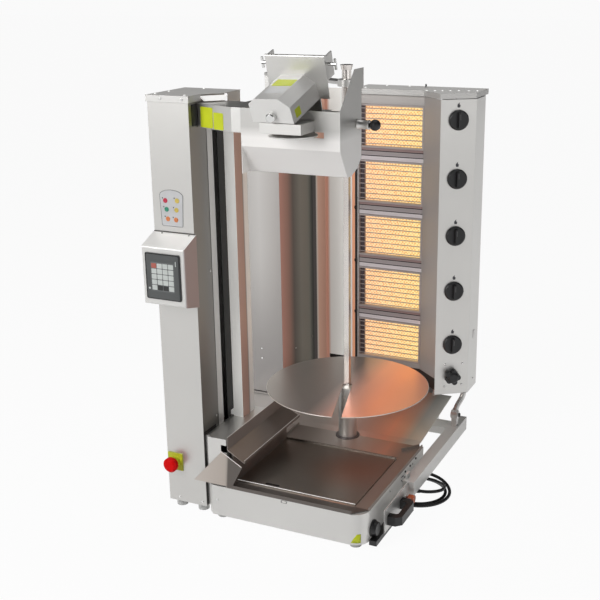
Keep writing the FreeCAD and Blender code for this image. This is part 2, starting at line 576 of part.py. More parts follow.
def meat_plate():
    disc = rod("plate_disc", "+Z", ("0", "0", "0"), "plate_radius", "plate_thickness")
    slot = box("plate_slot_cut", ("0", "plate_radius + 5"), ("-plate_slot / 2", "plate_slot / 2"),
               ("-1", "plate_thickness + 1"))
    slot_end = rod("plate_slot_end", "+Z", ("0", "0", "-1"), "plate_slot / 2", "plate_thickness + 2")
    plate = cut("plate_whole", disc, slot, slot_end)
    node_at("meat_plate", plate, V(size("spit_x"), size("spit_y"), size("plate_bottom")),
            FreeCAD.Rotation(V(0, 0, 1), size("plate_slot_angle")))


def hub_bearing():
    flange = ring("bearing_flange", "+Z", ("spit_x", "spit_y", "base_top"), "bearing_radius",
                  "hub_radius + fit_gap", "bearing_height")
    sleeve = ring("bearing_sleeve_ring", "+Z", ("spit_x", "spit_y", "hub_bottom + 1"), "bearing_sleeve",
                  "hub_radius + fit_gap", "base_top - hub_bottom")
    node("hub_bearing", fuse("bearing_whole", flange, sleeve))


def spit_gearmotor():
    body = box("gearmotor_box", ("spit_x - gearmotor_width / 2", "spit_x + gearmotor_width / 2"),
               ("spit_y - gearmotor_depth / 2", "spit_y + gearmotor_depth / 2"),
               ("foot_height + sheet_wall", "gearmotor_top"))
    bore = rod("gearmotor_bore", "+Z", ("spit_x", "spit_y", "hub_bottom - hub_stub_length - 1"),
               "hub_stub_radius + fit_gap", "60")
    node("spit_gearmotor", cut("gearmotor_whole", body, bore))


def spit_top_arm():
    run_x = size("spit_x") - size("mast_x")
    run_y = size("spit_y") - size("mast_y")
    mast = box("mast", ("mast_x - mast_side / 2", "mast_x + mast_side / 2"),
               ("mast_y - mast_side / 2", "mast_y + mast_side / 2"),
               ("cabinet_top", "top_arm_z + top_arm_thickness"))
    link = doc.addObject("Part::Box", "top_link")
    link.Length = math.hypot(run_x, run_y)
    bind(link, "Width", "top_arm_width")
    bind(link, "Height", "top_arm_thickness")
    turn = FreeCAD.Rotation(V(0, 0, 1), math.degrees(math.atan2(run_y, run_x)))
    edge = turn.multVec(V(0, -size("top_arm_width") / 2, 0))
    link.Placement = FreeCAD.Placement(V(size("mast_x"), size("mast_y"), size("top_arm_z")) + edge, turn)
    boss = rod("top_boss", "+Z", ("spit_x", "spit_y", "top_arm_z - 5"), "top_arm_boss",
               "top_arm_thickness + 10")
    bore = rod("top_bore", "+Z", ("spit_x", "spit_y", "top_arm_z - 10"), "spit_round_radius + fit_gap", "40")
    node("spit_top_arm", cut("top_arm_whole", fuse("top_arm_stock", mast, link, boss), bore))


# Rear cabinet, rear wall and heat post

def rear_cabinet():
    slope = "base_top + slope_rise * (%s - slope_start) / (slope_end - slope_start)"

    def outline(inset, top):
        front, back = "cabinet_front + " + inset, "cabinet_back - " + inset
        return [(front, slope % "cabinet_front" + " + " + inset),
                (back, slope % "cabinet_back" + " + " + inset),
                (back, top), (front, top)]

    outer = prism("cabinet_outer", "YZ", outline("0", "cabinet_top"), "cabinet_right - rear_left",
                  "rear_left")
    inner = prism("cabinet_inner", "YZ", outline("sheet_wall", "cabinet_top - sheet_wall"),
                  "cabinet_right - rear_left - 2 * sheet_wall", "rear_left + sheet_wall")
    node("rear_cabinet", cut("cabinet_whole", outer, inner))


def rear_wall():
    low = "base_top + slope_rise * (cabinet_back - slope_start) / (slope_end - slope_start)"
    panel = box("wall_panel", ("cabinet_right", "wall_right"),
                ("cabinet_back - wall_thickness", "cabinet_back"),
                (low, "wall_top"))
    rib = box("wall_rib", ("wall_rib_left", "wall_rib_right"),
              ("cabinet_back - wall_rib_depth", "cabinet_back"), (low, "wall_top - 10"))
    slot = box("wall_slot", ("wall_slot_left", "wall_slot_right"), ("cabinet_back - 5", "cabinet_back + 1"),
               ("wall_slot_bottom", "wall_slot_bottom + wall_slot_height"))
    node("rear_wall", cut("wall_whole", fuse("wall_stock", panel, rib), slot))


def heat_post():
    post = cut("post_tube", box("post_outer", ("post_left", "post_right"), ("post_front", "post_back"),
                                ("block_top", "post_top")),
               box("post_inner", ("post_left + post_wall", "post_right - post_wall"),
                   ("post_front + post_wall", "post_back - post_wall"),
                   ("block_top + post_wall", "post_top + 1")))
    foot = box("post_foot", ("post_left - 12", "post_left"), ("post_front + 5", "post_front + 25"),
               ("block_top", "block_top + 12"))
    node("heat_post", fuse("post_whole", post, foot))


# Burner unit

def burner_housing():
    wall, low, high = "sheet_wall", "burner_bottom", "burner_top"
    left = box("burner_left_wall", ("burner_left", "burner_left + " + wall), ("burner_front", "burner_back"),
               (low, high))
    mask = box("burner_mask", ("mask_left", "casing_left"), ("burner_front", "burner_front + " + wall),
               (low, high))
    edges = [low] + [edge % i for i in range(int(size("casing_count"))) for edge in
                     ("casing_bottom + %d * casing_pitch",
                      "casing_bottom + casing_height + %d * casing_pitch")]
    edges.append(high)
    strips = [box("burner_strip_%d" % i, ("casing_left", "burner_right"),
                  ("burner_front + strip_depth", "burner_front + strip_depth + " + wall),
                  edges[2 * i:2 * i + 2])
              for i in range(len(edges) // 2)]
    right = box("burner_right_wall", ("burner_right", "burner_right + " + wall),
                ("burner_front", "burner_back"),
                (low, high))
    back = box("burner_back_wall", ("burner_left", "burner_right + " + wall),
               ("burner_back - " + wall, "burner_back"), (low, high))
    floor = box("burner_floor", ("burner_left", "burner_right + " + wall), ("burner_front", "burner_back"),
                (low, low + " + " + wall))
    roof = box("burner_roof", ("burner_left", "burner_right + " + wall), ("burner_front", "burner_back"),
               (high + " - " + wall, high))
    reflector = prism("side_reflector", "XY", [
        ("burner_right", "burner_front"), ("face_left_x", "face_left_y"),
        ("face_left_x", "face_left_y + 2 * " + wall),
        ("burner_right + " + wall, "burner_front + 2 * " + wall)],
        high + " - (" + low + ")", low)
    deck = prism("reflector_floor", "XY", [
        ("burner_right", "burner_front"), ("face_left_x", "face_left_y"), ("face_left_x", "burner_back"),
        ("burner_right", "burner_back")], wall, low)
    legs = [box("leg_%d" % i, (x, x + " + leg_width"), ("burner_front", "burner_front + 20"),
                ("leg_bottom", low))
            for i, x in enumerate(("burner_right + leg_start", "burner_right + leg_start + leg_spacing"))]
    ports = [rod("injector_port_%d" % i, "+X", ("burner_right - 1", "burner_front + 70", centre_of_casing(i)),
                 "injector_radius", "4") for i in range(int(size("casing_count")))]
    stock = fuse("housing_stock", left, mask, *strips, right, back, floor, roof, reflector, deck, *legs)
    node("burner_housing", cut("housing_whole", stock, *ports))


def centre_of_casing(i):
    return "casing_bottom + casing_height / 2 + %d * casing_pitch" % i


def burner_casings():
    casings = []
    for i in range(int(size("casing_count"))):
        low = "casing_bottom + %d * casing_pitch" % i
        name = "casing_%d" % i
        outer = box(name, ("casing_left", "burner_right"), ("burner_front", "burner_front + casing_depth"),
                    (low, low + " + casing_height"))
        inner = box(name + "_inner", ("casing_left + sheet_wall", "burner_right - casing_rim"),
                    ("burner_front - 1", "burner_front + casing_depth - sheet_wall"),
                    (low + " + casing_rim", low + " + casing_height - casing_rim"))
        wires = []
        for k in range(int(size("guard_wire_count"))):
            step = "(casing_height - 2 * casing_rim) / guard_wire_count"
            wires.append(rod("%s_wire_%d" % (name, k), "+X",
                             ("casing_left + 1", "burner_front + 2",
                              low + " + casing_rim + (%d + 0.5) * %s" % (k, step)),
                             "guard_wire_radius", "burner_right - casing_left - 2"))
        casings.append(fuse(name + "_whole", cut(name + "_frame", outer, inner), *wires))
    node("burner_casings", group("casings_group", *casings))


def burner_ceramics():
    tiles = []
    for i in range(int(size("casing_count"))):
        low = "casing_bottom + casing_rim + %d * casing_pitch" % i
        name = "ceramic_%d" % i
        tile = box(name, ("casing_left + casing_side", "burner_right - casing_rim"),
                   ("burner_front + ceramic_inset", "burner_front + ceramic_inset + ceramic_depth"),
                   (low, low + " + casing_height - 2 * casing_rim"))
        width = "(burner_right - casing_rim - casing_left - casing_side)"
        seams = [box("%s_seam_%d" % (name, k),
                     ("casing_left + casing_side + %s * %d / 3 - ceramic_groove / 2" % (width, k),
                      "casing_left + casing_side + %s * %d / 3 + ceramic_groove / 2" % (width, k)),
                     ("burner_front + ceramic_inset - 1", "burner_front + ceramic_inset + ceramic_groove"),
                     (low + " - 1", low + " + casing_height")) for k in (1, 2)]
        tiles.append(cut(name + "_whole", tile, *seams))
    node("burner_ceramics", group("ceramics_group", *tiles))


def panel_point(share, out, z):
    """A point on the control face: its share of the width, its distance out of the face, its height."""
    left = V(size("face_left_x"), size("face_left_y"), 0)
    right = V(size("face_right_x"), size("face_right_y"), 0)
    run = right - left
    outward = V(run.y, -run.x, 0).normalize()
    return left + run * share + outward * out + V(0, 0, z)


def panel_turn():
    """The turn that points Z out of the control face."""
    run_x = size("face_right_x") - size("face_left_x")
    run_y = size("face_right_y") - size("face_left_y")
    face = FreeCAD.Rotation(V(0, 0, 1), math.degrees(math.atan2(run_y, run_x)))
    return face.multiply(AXIS_TURN["-Y"])


def shaft_hole(name, share, z, radius):
    """A round hole through the control face."""
    hole = doc.addObject("Part::Cylinder", name)
    bind(hole, "Radius", radius)
    hole.Height = 12
    hole.Placement = FreeCAD.Placement(panel_point(share, -6, z), panel_turn())
    return hole


def knob_height(i):
    return size("gas_knob_low") + i * size("gas_knob_pitch")


def control_column():
    def outline(inset):
        return [("face_left_x + " + inset, "face_left_y + 1.2 * " + inset),
                ("face_right_x - " + inset, "face_right_y + 0.6 * " + inset),
                ("face_right_x - " + inset, "control_back - " + inset),
                ("face_left_x + " + inset, "control_back - " + inset)]

    outer = prism("control_outer", "XY", outline("0"), "control_top - control_bottom", "control_bottom")
    inner = prism("control_inner", "XY", outline("sheet_wall"), "control_top - control_bottom",
                  "control_bottom + sheet_wall")
    holes = [shaft_hole("gas_hole_%d" % i, 0.5, knob_height(i), "gas_knob_shaft + fit_gap") for i in range(5)]
    holes.append(shaft_hole("star_hole", 0.5, size("star_knob_z"), "gas_knob_shaft + fit_gap"))
    ports = [rod("control_port_%d" % i, "+X", ("face_left_x - 1", "burner_front + 70", centre_of_casing(i)),
                 "injector_radius", "4") for i in range(int(size("casing_count")))]
    node("control_column", cut("control_whole", outer, inner, *holes, *ports))


def gas_train():
    x, y = "face_right_x - manifold_inset + 30", "burner_front + 40"
    manifold = rod("manifold", "+Z", (x, y, "control_bottom + sheet_wall"), "manifold_radius",
                   "control_top - control_bottom - 40")
    pieces = [manifold]
    for i in range(int(size("casing_count"))):
        height = centre_of_casing(i)
        pieces.append(rod("injector_%d" % i, "+X", ("burner_right + 2 * sheet_wall", y + " + 30", height),
                          "injector_radius - 0.5", "(%s) - (burner_right + 2 * sheet_wall)" % x))
        pieces.append(rod("elbow_%d" % i, "+Y", (x, y, height), "injector_radius", "32"))
        pieces.append(rod("valve_%d" % i, "-Y", (x, y, "gas_knob_low + %d * gas_knob_pitch" % i),
                          "valve_radius", "24"))
    node("gas_train", fuse("gas_whole", *pieces))


def burner_lid():
    def outline(inset):
        left, front = "burner_left - 12 + " + inset, "burner_front - lid_margin + " + inset
        return [(left, front), ("burner_right", front),
                ("face_left_x", "face_left_y - lid_margin + 1.2 * " + inset),
                ("face_right_x - " + inset, "face_right_y - lid_margin + 0.6 * " + inset),
                ("face_right_x - " + inset, "lid_back - " + inset), (left, "lid_back - " + inset)]

    cover = cut("lid_cover", prism("lid_cover_outer", "XY", outline("0"), "lid_height", "lid_bottom"),
                prism("lid_cover_room", "XY", outline("sheet_wall"), "lid_height - sheet_wall", "lid_bottom"))
    spacer = prism("lid_spacer", "XY", [
        ("burner_left + 2", "burner_back - 14"), ("burner_right", "burner_back - 14"),
        ("burner_right", "burner_back"), ("burner_left + 2", "burner_back")],
        "lid_bottom + lid_height - sheet_wall - burner_top", "burner_top")
    rest = prism("lid_rest", "XY", [
        ("face_left_x + 4", "control_back - 12"), ("face_right_x", "control_back - 12"),
        ("face_right_x", "control_back"), ("face_left_x + 4", "control_back")],
        "lid_bottom + lid_height - sheet_wall - control_top", "control_top")
    cover_bar = prism("lid_cover_bar", "XY", [
        ("burner_left + 2", "burner_front + 1"), ("burner_right", "burner_front + 1"),
        ("burner_right", "burner_front + 4"), ("burner_left + 2", "burner_front + 4")],
        "lid_bottom + lid_height - sheet_wall - burner_top", "burner_top")
    node("burner_lid", fuse("burner_lid_whole", cover, spacer, rest, cover_bar))


def gas_knobs():
    for i in range(5):
        name = "gas_knob_%d" % (i + 1)
        disc = turned(name + "_disc", [
            ("0", "0"), ("gas_knob_radius", "0"), ("gas_knob_radius", "5"), ("gas_knob_radius - 3", "8"),
            ("0", "8")])
        bar = box(name + "_bar", ("-gas_knob_bar / 2", "gas_knob_bar / 2"),
                  ("-gas_knob_radius + 7", "gas_knob_radius - 7"), ("6", "gas_knob_depth"))
        shaft = rod(name + "_shaft", "+Z", ("0", "0", "-10"), "gas_knob_shaft", "12")
        node_at(name, fuse(name + "_whole", disc, bar, shaft),
                panel_point(0.5, size("seat_gap"), knob_height(4 - i)),
                panel_turn())


def star_knob():
    core = turned("star_core", [
        ("0", "0"), ("star_knob_radius * 0.7", "0"), ("star_knob_radius * 0.7", "star_knob_depth - 3"),
        ("star_knob_radius * 0.5", "star_knob_depth"), ("0", "star_knob_depth")])
    lobes = []
    for i in range(5):
        angle = 2 * math.pi * i / 5
        lobe = doc.addObject("Part::Cylinder", "star_lobe_%d" % i)
        bind(lobe, "Radius", "star_knob_radius * 0.36")
        bind(lobe, "Height", "star_knob_depth - 8")
        bind(lobe, "Placement.Base.x", "star_knob_radius * 0.64 * %.6f" % math.cos(angle))
        bind(lobe, "Placement.Base.y", "star_knob_radius * 0.64 * %.6f" % math.sin(angle))
        bind(lobe, "Placement.Base.z", "4")
        lobes.append(lobe)
    shaft = rod("star_shaft", "+Z", ("0", "0", "-10"), "gas_knob_shaft", "12")
    node_at("star_knob", fuse("star_whole", core, shaft, *lobes),
            panel_point(0.5, size("seat_gap"), size("star_knob_z")), panel_turn())


# Side frame

def slide_frame():
    bar = cut("bar_tube", box("bar_outer", ("bar_left", "bar_right"), ("bar_front", "bar_back"),
                              ("bar_bottom", "bar_top")),
              box("bar_inner", ("bar_left + bar_wall", "bar_right - bar_wall"),
                  ("bar_front + bar_wall", "bar_back - bar_wall"),
                  ("bar_bottom + bar_wall", "bar_top - bar_wall")))
    cross = box("cross_bar", ("cross_left", "bar_left"), ("cross_front", "cross_back"),
                ("cross_bottom", "cross_top"))
    post = box("bar_post", ("post_bar_x - 8", "post_bar_x + 8"), ("post_bar_y - 9", "post_bar_y + 9"),
               ("bar_top", "pivot_seat"))
    pivot = rod("bar_pivot", "+X", ("post_bar_x - 10", "post_bar_y", "pivot_z"), "pivot_radius", "20")
    bolt = rod("bar_bolt", "+X", ("post_bar_x - 12", "post_bar_y", "pivot_z"), "pivot_radius / 2", "24")
    plate = box("side_plate", ("side_plate_left", "side_plate_left + side_plate_thickness"),
                ("side_plate_front", "bar_front + side_plate_lap"), ("side_plate_bottom", "side_plate_top"))
    web = box("shoe", ("bar_left", "side_plate_left"), ("shoe_front", "shoe_back"),
              ("rail_top + seat_gap", "bar_bottom + 10"))
    hook = box("bar_hook", ("bar_left + 3", "bar_left + 9"), ("bar_front + 12", "bar_front + 34"),
               ("bar_top", "bar_top + 14"))
    sleeve = rod("release_sleeve_ring", "+X", ("side_plate_left", "release_y", "release_z"),
                 "release_sleeve_radius", "side_plate_thickness + release_sleeve")
    bore = rod("release_bore", "+X", ("side_plate_left - 20", "release_y", "release_z"),
               "release_stem_radius + fit_gap", "60")
    stock = fuse("slide_stock", bar, cross, post, pivot, bolt, plate, web, hook, sleeve)
    node("slide_frame", cut("slide_whole", stock, bore))


def slide_rail():
    node("slide_rail", group("slide_rail_group", box(
        "slide_rail_bar", ("base_right", "rail_right"), ("rail_front", "rail_back"),
        ("rail_bottom", "rail_top"))))


def bridge_handle():
    inner = "side_plate_left + side_plate_thickness"
    front, back = "handle_front", "handle_front + handle_length"
    out = inner + " + handle_reach"
    grip = out + " - handle_bar"
    body = prism("handle_body", "XY", [
        (inner, front), (out + " - handle_corner", front), (out, front + " + handle_corner"),
        (out, back + " - handle_corner"), (out + " - handle_corner", back), (inner, back),
        (inner, back + " - handle_leg"), (grip + " - handle_bevel", back + " - handle_leg"),
        (grip, back + " - handle_leg - handle_bevel"), (grip, front + " + handle_leg + handle_bevel"),
        (grip + " - handle_bevel", front + " + handle_leg"), (inner, front + " + handle_leg")],
        "handle_height", "handle_low")
    node("bridge_handle", group("bridge_handle_group", body))


def release_knob():
    inner = "side_plate_left + side_plate_thickness + release_sleeve + release_travel + seat_gap"
    knob = rod("release_cap", "+X", (inner, "release_y", "release_z"), "release_radius", "release_length")
    stem = rod("release_stem", "+X", ("side_plate_left + 4", "release_y", "release_z"), "release_stem_radius",
               "release_sleeve + release_travel + 3")
    node("release_knob", fuse("release_whole", knob, stem))


def main_switch_knob():
    knob = turned("switch_disc", [
        ("0", "0"), ("switch_radius", "0"), ("switch_radius", "4"), ("switch_radius - 3", "7"),
        ("switch_radius - 5", "switch_depth"), ("0", "switch_depth")])
    knob.Placement = FreeCAD.Placement(V(), AXIS_TURN["+X"])
    place(knob, "base_right + seat_gap", "switch_y", "switch_z")
    shaft = rod("switch_shaft_rod", "+X", ("base_right - 12", "switch_y", "switch_z"), "switch_shaft", "14")
    node("main_switch_knob", fuse("switch_whole", knob, shaft))


# Arm, hood and cutter

def cutter_arm():
    body = prism("arm_body", "XY", [
        ("arm_root_x", "arm_root_y"), ("hood_left", "hood_front_y"), ("hood_plate_left", "hood_front_y"),
        ("hood_plate_left", "arm_hood_y"), ("arm_back_x", "arm_back_y"), ("arm_bend_x", "arm_bend_y"),
        ("arm_root_x", "arm_root_y + 24")], "arm_top - arm_bottom", "arm_bottom")
    room = prism("arm_room", "XY", [
        ("arm_root_x + 2 * arm_wall", "arm_root_y + arm_wall"), ("hood_left", "hood_front_y + 2 * arm_wall"),
        ("hood_plate_left - arm_wall", "hood_front_y + arm_wall"),
        ("hood_plate_left - arm_wall", "arm_hood_y - arm_wall"),
        ("arm_back_x", "arm_back_y - 1.5 * arm_wall"),
        ("arm_bend_x + arm_wall", "arm_bend_y - 1.5 * arm_wall"),
        ("arm_root_x + 2 * arm_wall", "arm_root_y + 24")],
        "arm_top - arm_bottom - 2 * arm_wall", "arm_bottom + arm_wall")
    tongue = box("arm_tongue", ("guide_block_right", "tongue_right"),
                 ("slot_front + tongue_gap", "tongue_back"),
                 ("tongue_bottom", "arm_top - 6"))
    joint = box("arm_joint", ("tongue_right - 25", "tongue_right"), ("arm_bend_y - 26", "tongue_back - 10"),
                ("tongue_bottom", "arm_top - 6"))
    node("cutter_arm", fuse("arm_whole", cut("arm_shell", body, room), tongue, joint))


def hood():
    wall = "sheet_wall"
    front_side = [("hood_front_y", "arm_top"), ("hood_front_y", "hood_fold"), ("hood_low_y", "hood_low"),
                  ("hood_low_y", "hood_low + " + wall), ("hood_front_y + " + wall, "hood_fold + " + wall),
                  ("hood_front_y + " + wall, "arm_top")]
    front = prism("hood_front", "YZ", front_side, "hood_right - hood_plate_left", "hood_plate_left")
    left = prism("hood_left_plate", "YZ", [
        ("hood_front_y", "arm_top"), ("hood_front_y", "hood_low"), ("hood_low_y", "hood_low"),
        ("arm_hood_y", "hood_low + 60"), ("arm_hood_y", "arm_top")], wall, "hood_plate_left")
    right = prism("hood_right_plate", "YZ", [
        ("hood_front_y", "arm_top"), ("hood_front_y", "hood_fold"), ("hood_low_y", "hood_low"),
        ("hood_low_y + 24", "hood_low"), ("hood_back_y - 22", "hood_low + 14"),
        ("hood_back_y", "hood_low + 36"),
        ("hood_back_y", "hood_notch_z - 10"), ("hood_peak_back", "hood_notch_z"),
        ("hood_peak_back", "hood_peak"), ("hood_peak_front", "hood_peak")], wall, "hood_right - " + wall)
    shelf = box("hood_shelf", ("hood_plate_left", "shelf_right"), ("hood_front_y", "shelf_back"),
                ("shelf_z", "shelf_z + " + wall))
    rear = box("hood_rear", ("hood_plate_left", "hood_right"),
               ("hood_back_y - 30", "hood_back_y - 30 + " + wall),
               ("shelf_z - 40", "shelf_z + " + wall))
    slot = box("hood_slot", ("hood_slot_left", "hood_slot_right"), ("hood_front_y - 1", "hood_front_y + 4"),
               ("hood_slot_bottom", "hood_slot_top"))
    sleeve = rod("plunger_sleeve_ring", "+X", ("hood_right", "plunger_y", "plunger_z"),
                 "plunger_sleeve_radius",
                 "plunger_sleeve")
    bore = rod("plunger_bore", "+X", ("hood_right - 30", "plunger_y", "plunger_z"),
               "plunger_shaft + fit_gap", "60")
    node("hood", cut("hood_whole", fuse("hood_stock", front, left, right, shelf, rear, sleeve), slot, bore))


def plunger_knob():
    shaft = rod("plunger_rod", "+X", ("hood_right - 14", "plunger_y", "plunger_z"), "plunger_shaft",
                "plunger_out - hood_right + 14")
    ball = doc.addObject("Part::Sphere", "plunger_ball_cap")
    bind(ball, "Radius", "plunger_ball")
    place(ball, "plunger_out", "plunger_y", "plunger_z")
    node("plunger_knob", fuse("plunger_whole", shaft, ball))


def head_frame():
    """The place and tilt of the cutter head, whose own Y axis runs back along the motor."""
    return (V(size("head_x"), size("head_y"), size("head_z")),
            FreeCAD.Rotation(V(1, 0, 0), size("head_tilt")))


def head_outline(inset):
    """The eight-cornered section of the cutter head, drawn in by a wall."""
    return [("-39 + " + inset, "40 - " + inset), ("20.5 - 0.4 * " + inset, "41.5 - " + inset),
            ("47 - " + inset, "23 - 0.5 * " + inset), ("52 - " + inset, "-15 + " + inset),
            ("-51 + " + inset, "-15 + " + inset), ("-54 + " + inset, "28 - 0.5 * " + inset)]


def cutter_housing():
    point, turn = head_frame()
    outer = prism("head_outer", "XZ", head_outline("0"), "head_length")
    inner = prism("head_inner", "XZ", head_outline("head_wall"), "head_length - 2 * head_wall", "head_wall")
    hole = rod("head_knob_hole", "+Y", ("0", "-5", "0"), "slice_knob_shaft + fit_gap", "12")
    node_at("cutter_housing", cut("head_whole", outer, inner, hole), point, turn)


def cutter_motor():
    point, turn = head_frame()
    motor = rod("cutter_motor_can", "+Y", ("0", "16", "12"), "head_motor_radius",
                "head_length - 16 - head_wall")
    tail = rod("cutter_motor_nose", "+Y", ("0", "10", "12"), "head_motor_radius / 2", "10")
    node_at("cutter_motor", fuse("cutter_motor_whole", motor, tail), point, turn)


def yoke():
    point, turn = head_frame()
    start, wall = "head_length", "yoke_thickness"
    plate = box("yoke_plate", ("-yoke_half_left", "yoke_half_right"), (start, start + " + " + wall),
                ("-yoke_foot", "yoke_top"))
    tongue = box("yoke_tongue_plate", ("-yoke_tongue", "yoke_tongue"), (start, start + " + " + wall),
                 ("-4 * yoke_foot", "1 - yoke_foot"))
    roll = rod("yoke_rolled_edge", "+X", ("-yoke_half_left", start + " + yoke_roll", "yoke_top"), "yoke_roll",
               "yoke_half_left + yoke_half_right")
    flanges = [box("yoke_flange_%d" % i, (x, x + " + " + wall), (start, start + " + yoke_flange"),
                   ("yoke_flange_low", "yoke_top"))
               for i, x in enumerate(("-yoke_half_left", "yoke_half_right - " + wall))]
    bent = fuse("yoke_bent", plate, tongue, roll, *flanges)
    bent.Placement = FreeCAD.Placement(point, turn)
    under = box("yoke_under", ("hood_left", "hood_right"), ("hood_front_y", "hood_peak_back"),
                ("shelf_z - 60", "shelf_z + sheet_wall"))
    node("yoke", cut("yoke_whole", bent, under))


def wing_screws():
    point, turn = head_frame()
    screws = []
    for i, (x, out) in enumerate((("yoke_half_right", 1), ("-yoke_half_left", -1))):
        start = x if out > 0 else x + " - wing_screw_length"
        y = "head_length + wing_screw_in"
        shaft = rod("wing_shaft_%d" % i, "+X", (start, y, "wing_screw_height"), "wing_screw_radius",
                    "wing_screw_length")
        wing_x = x + " + %d * wing_screw_length - 5" % out if out > 0 else x + " - wing_screw_length"
        wing = box("wing_bar_%d" % i, (wing_x, wing_x + " + 5"), (y + " - 2", y + " + 2"),
                   ("wing_screw_height - wing_span", "wing_screw_height + wing_span"))
        screws.append(fuse("wing_screw_%d" % i, shaft, wing))
    node_at("wing_screws", group("wing_screws_group", *screws), point, turn)


def cutter_base():
    body = box("cutter_base_box", ("cutter_left", "cutter_right"), ("cutter_front", "hood_front_y"),
               ("cutter_bottom", "cutter_top"))
    bore = rod("cutter_bore", "+Z", ("blade_x", "blade_y - 14", "cutter_bottom - 1"),
               "blade_shaft + fit_gap", "16")
    point, turn = head_frame()
    clear = prism("cutter_base_clear", "XZ", [("-80", "-15"), ("80", "-15"), ("80", "60"), ("-80", "60")],
                  "200")
    clear.Placement = FreeCAD.Placement(point, turn)
    node("cutter_base", cut("cutter_base_whole", body, bore, clear))


def cutter_blade():
    y = "blade_y - 14"
    disc = rod("blade_disc", "+Z", ("blade_x", y, "blade_z"), "blade_radius", "blade_thickness")
    shaft = rod("blade_axle", "+Z", ("blade_x", y, "blade_z"), "blade_shaft", "22")
    node("cutter_blade", fuse("blade_whole", disc, shaft))


def slice_knob():
    point, turn = head_frame()
    knob = turned("slice_knob_disc", [
        ("0", "0"), ("slice_knob_radius", "0"), ("slice_knob_radius", "slice_knob_depth - 2"),
        ("slice_knob_radius - 2", "slice_knob_depth"), ("0", "slice_knob_depth")])
    knob.Placement = FreeCAD.Placement(V(0, -size("seat_gap"), 0), AXIS_TURN["-Y"])
    shaft = rod("slice_knob_stem", "-Y", ("0", "7", "0"), "slice_knob_shaft", "8")
    node_at("slice_knob", fuse("slice_knob_whole", knob, shaft), point, turn)


# Chute and screws

def slice_chute():
    wall = "chute_wall"
    gutter = prism("chute_gutter", "XZ", [
        ("chute_left", "chute_top"), ("chute_left", "chute_floor_left"),
        ("chute_right", "chute_floor_right - 2"), ("chute_right", "chute_floor_right + chute_lip"),
        ("chute_right - " + wall, "chute_floor_right + chute_lip"),
        ("chute_right - " + wall, "chute_floor_right"), ("chute_left + " + wall, "chute_floor_left + 2"),
        ("chute_left + " + wall, "chute_top")], "chute_back - chute_front", "chute_front")
    support = prism("chute_support", "XZ", [
        ("chute_support_x", "base_top + tray_thickness"),
        ("chute_support_x + 6", "base_top + tray_thickness"),
        ("chute_support_x + 6", "chute_floor_left - 8"), ("chute_support_x", "chute_floor_left - 3")],
        "chute_back - chute_front - 20", "chute_front + 10")
    node("slice_chute", fuse("chute_whole", gutter, support))


def cover_screws():
    heads = []
    front = [("31", "31.5", "0"), ("101.5", "31.7", "0"), ("base_left + 29", "64", "base_front"),
             ("40", "lid_top - 8", "-lid_overhang"), ("100", "lid_top - 8", "-lid_overhang"),
             ("rear_left + 53", "269", "cabinet_front"), ("rear_left + 53", "237", "cabinet_front")]
    for i, (x, z, y) in enumerate(front):
        heads.append(rod("front_screw_%d" % i, "-Y", (x, y, z), "screw_head_radius", "screw_head_height"))
    side = [("column_width", "68", "657"), ("column_width", "68", "257"), ("cabinet_right", "639", "250"),
            ("cabinet_right", "761", "250"), ("base_right", "150", "92"), ("base_right", "320", "92")]
    for i, (x, y, z) in enumerate(side):
        heads.append(rod("side_screw_%d" % i, "+X", (x, y, z), "screw_head_radius", "screw_head_height"))
    node("cover_screws", group("cover_screws_group", *heads))


# Tubes and cable

def bent_tube(name, points, radius, share):
    """A tube along straight runs joined by tangent arcs."""
    edges = []
    radii = []
    start = points[0]
    for before, corner, after in zip(points, points[1:], points[2:]):
        into = (corner - before).normalize()
        away = (after - corner).normalize()
        half = into.getAngle(away) / 2
        reach = share * min((corner - before).Length, (after - corner).Length)
        radii.append(reach / math.tan(half))
        first, last = corner - into * reach, corner + away * reach
        inward = (away - into).normalize()
        depth = radii[-1] * (1 / math.cos(half) - 1)
        edges.append(Part.LineSegment(start, first).toShape())
        edges.append(Part.Arc(first, corner + inward * depth, last).toShape())
        start = last
    edges.append(Part.LineSegment(start, points[-1]).toShape())
    path = Part.Wire(edges)
    heading = (points[1] - points[0]).normalize()
    ring_wire = Part.Wire([Part.Circle(points[0], heading, radius).toShape()])
    tube = path.makePipeShell([ring_wire], True, False)
    print(name, "length %.1f" % path.Length, "radii", " ".join("%.1f" % r for r in radii))
    print(name,
          "volume over section times length %.4f" % (tube.Volume / (math.pi * radius ** 2 * path.Length)))
    return tube


def feature(name, shape):
    held = doc.addObject("Part::Feature", name)
    held.Shape = shape
    return held


def support_tube():
    top = V(size("post_bar_x"), size("post_bar_y"), size("control_bottom"))
    route = [top + V(*corner) for corner in TUBE_CORNERS]
    tube = feature("support_tube_bent", bent_tube("support_tube", route, size("tube_radius"), BEND_SHARE))
    around_x, around_y = ("post_bar_x - 50", "post_bar_x + 50"), ("post_bar_y - 50", "post_bar_y + 80")
    above = box("tube_end_high", around_x, around_y, ("control_bottom", "control_bottom + 50"))
    below = box("tube_end_low", around_x, around_y, ("pivot_seat - 50", "pivot_seat"))
    node("support_tube", cut("support_tube_whole", tube, above, below))


def arc_between(first, last, heading):
    """The arc from one point to another that leaves along a heading."""
    chord = last - first
    half = chord.getAngle(heading)
    side = heading - chord * (heading.dot(chord) / chord.Length ** 2)
    bulge = side.normalize() * (chord.Length / 2 * math.tan(half / 2))
    return Part.Arc(first, first + chord * 0.5 + bulge, last).toShape()


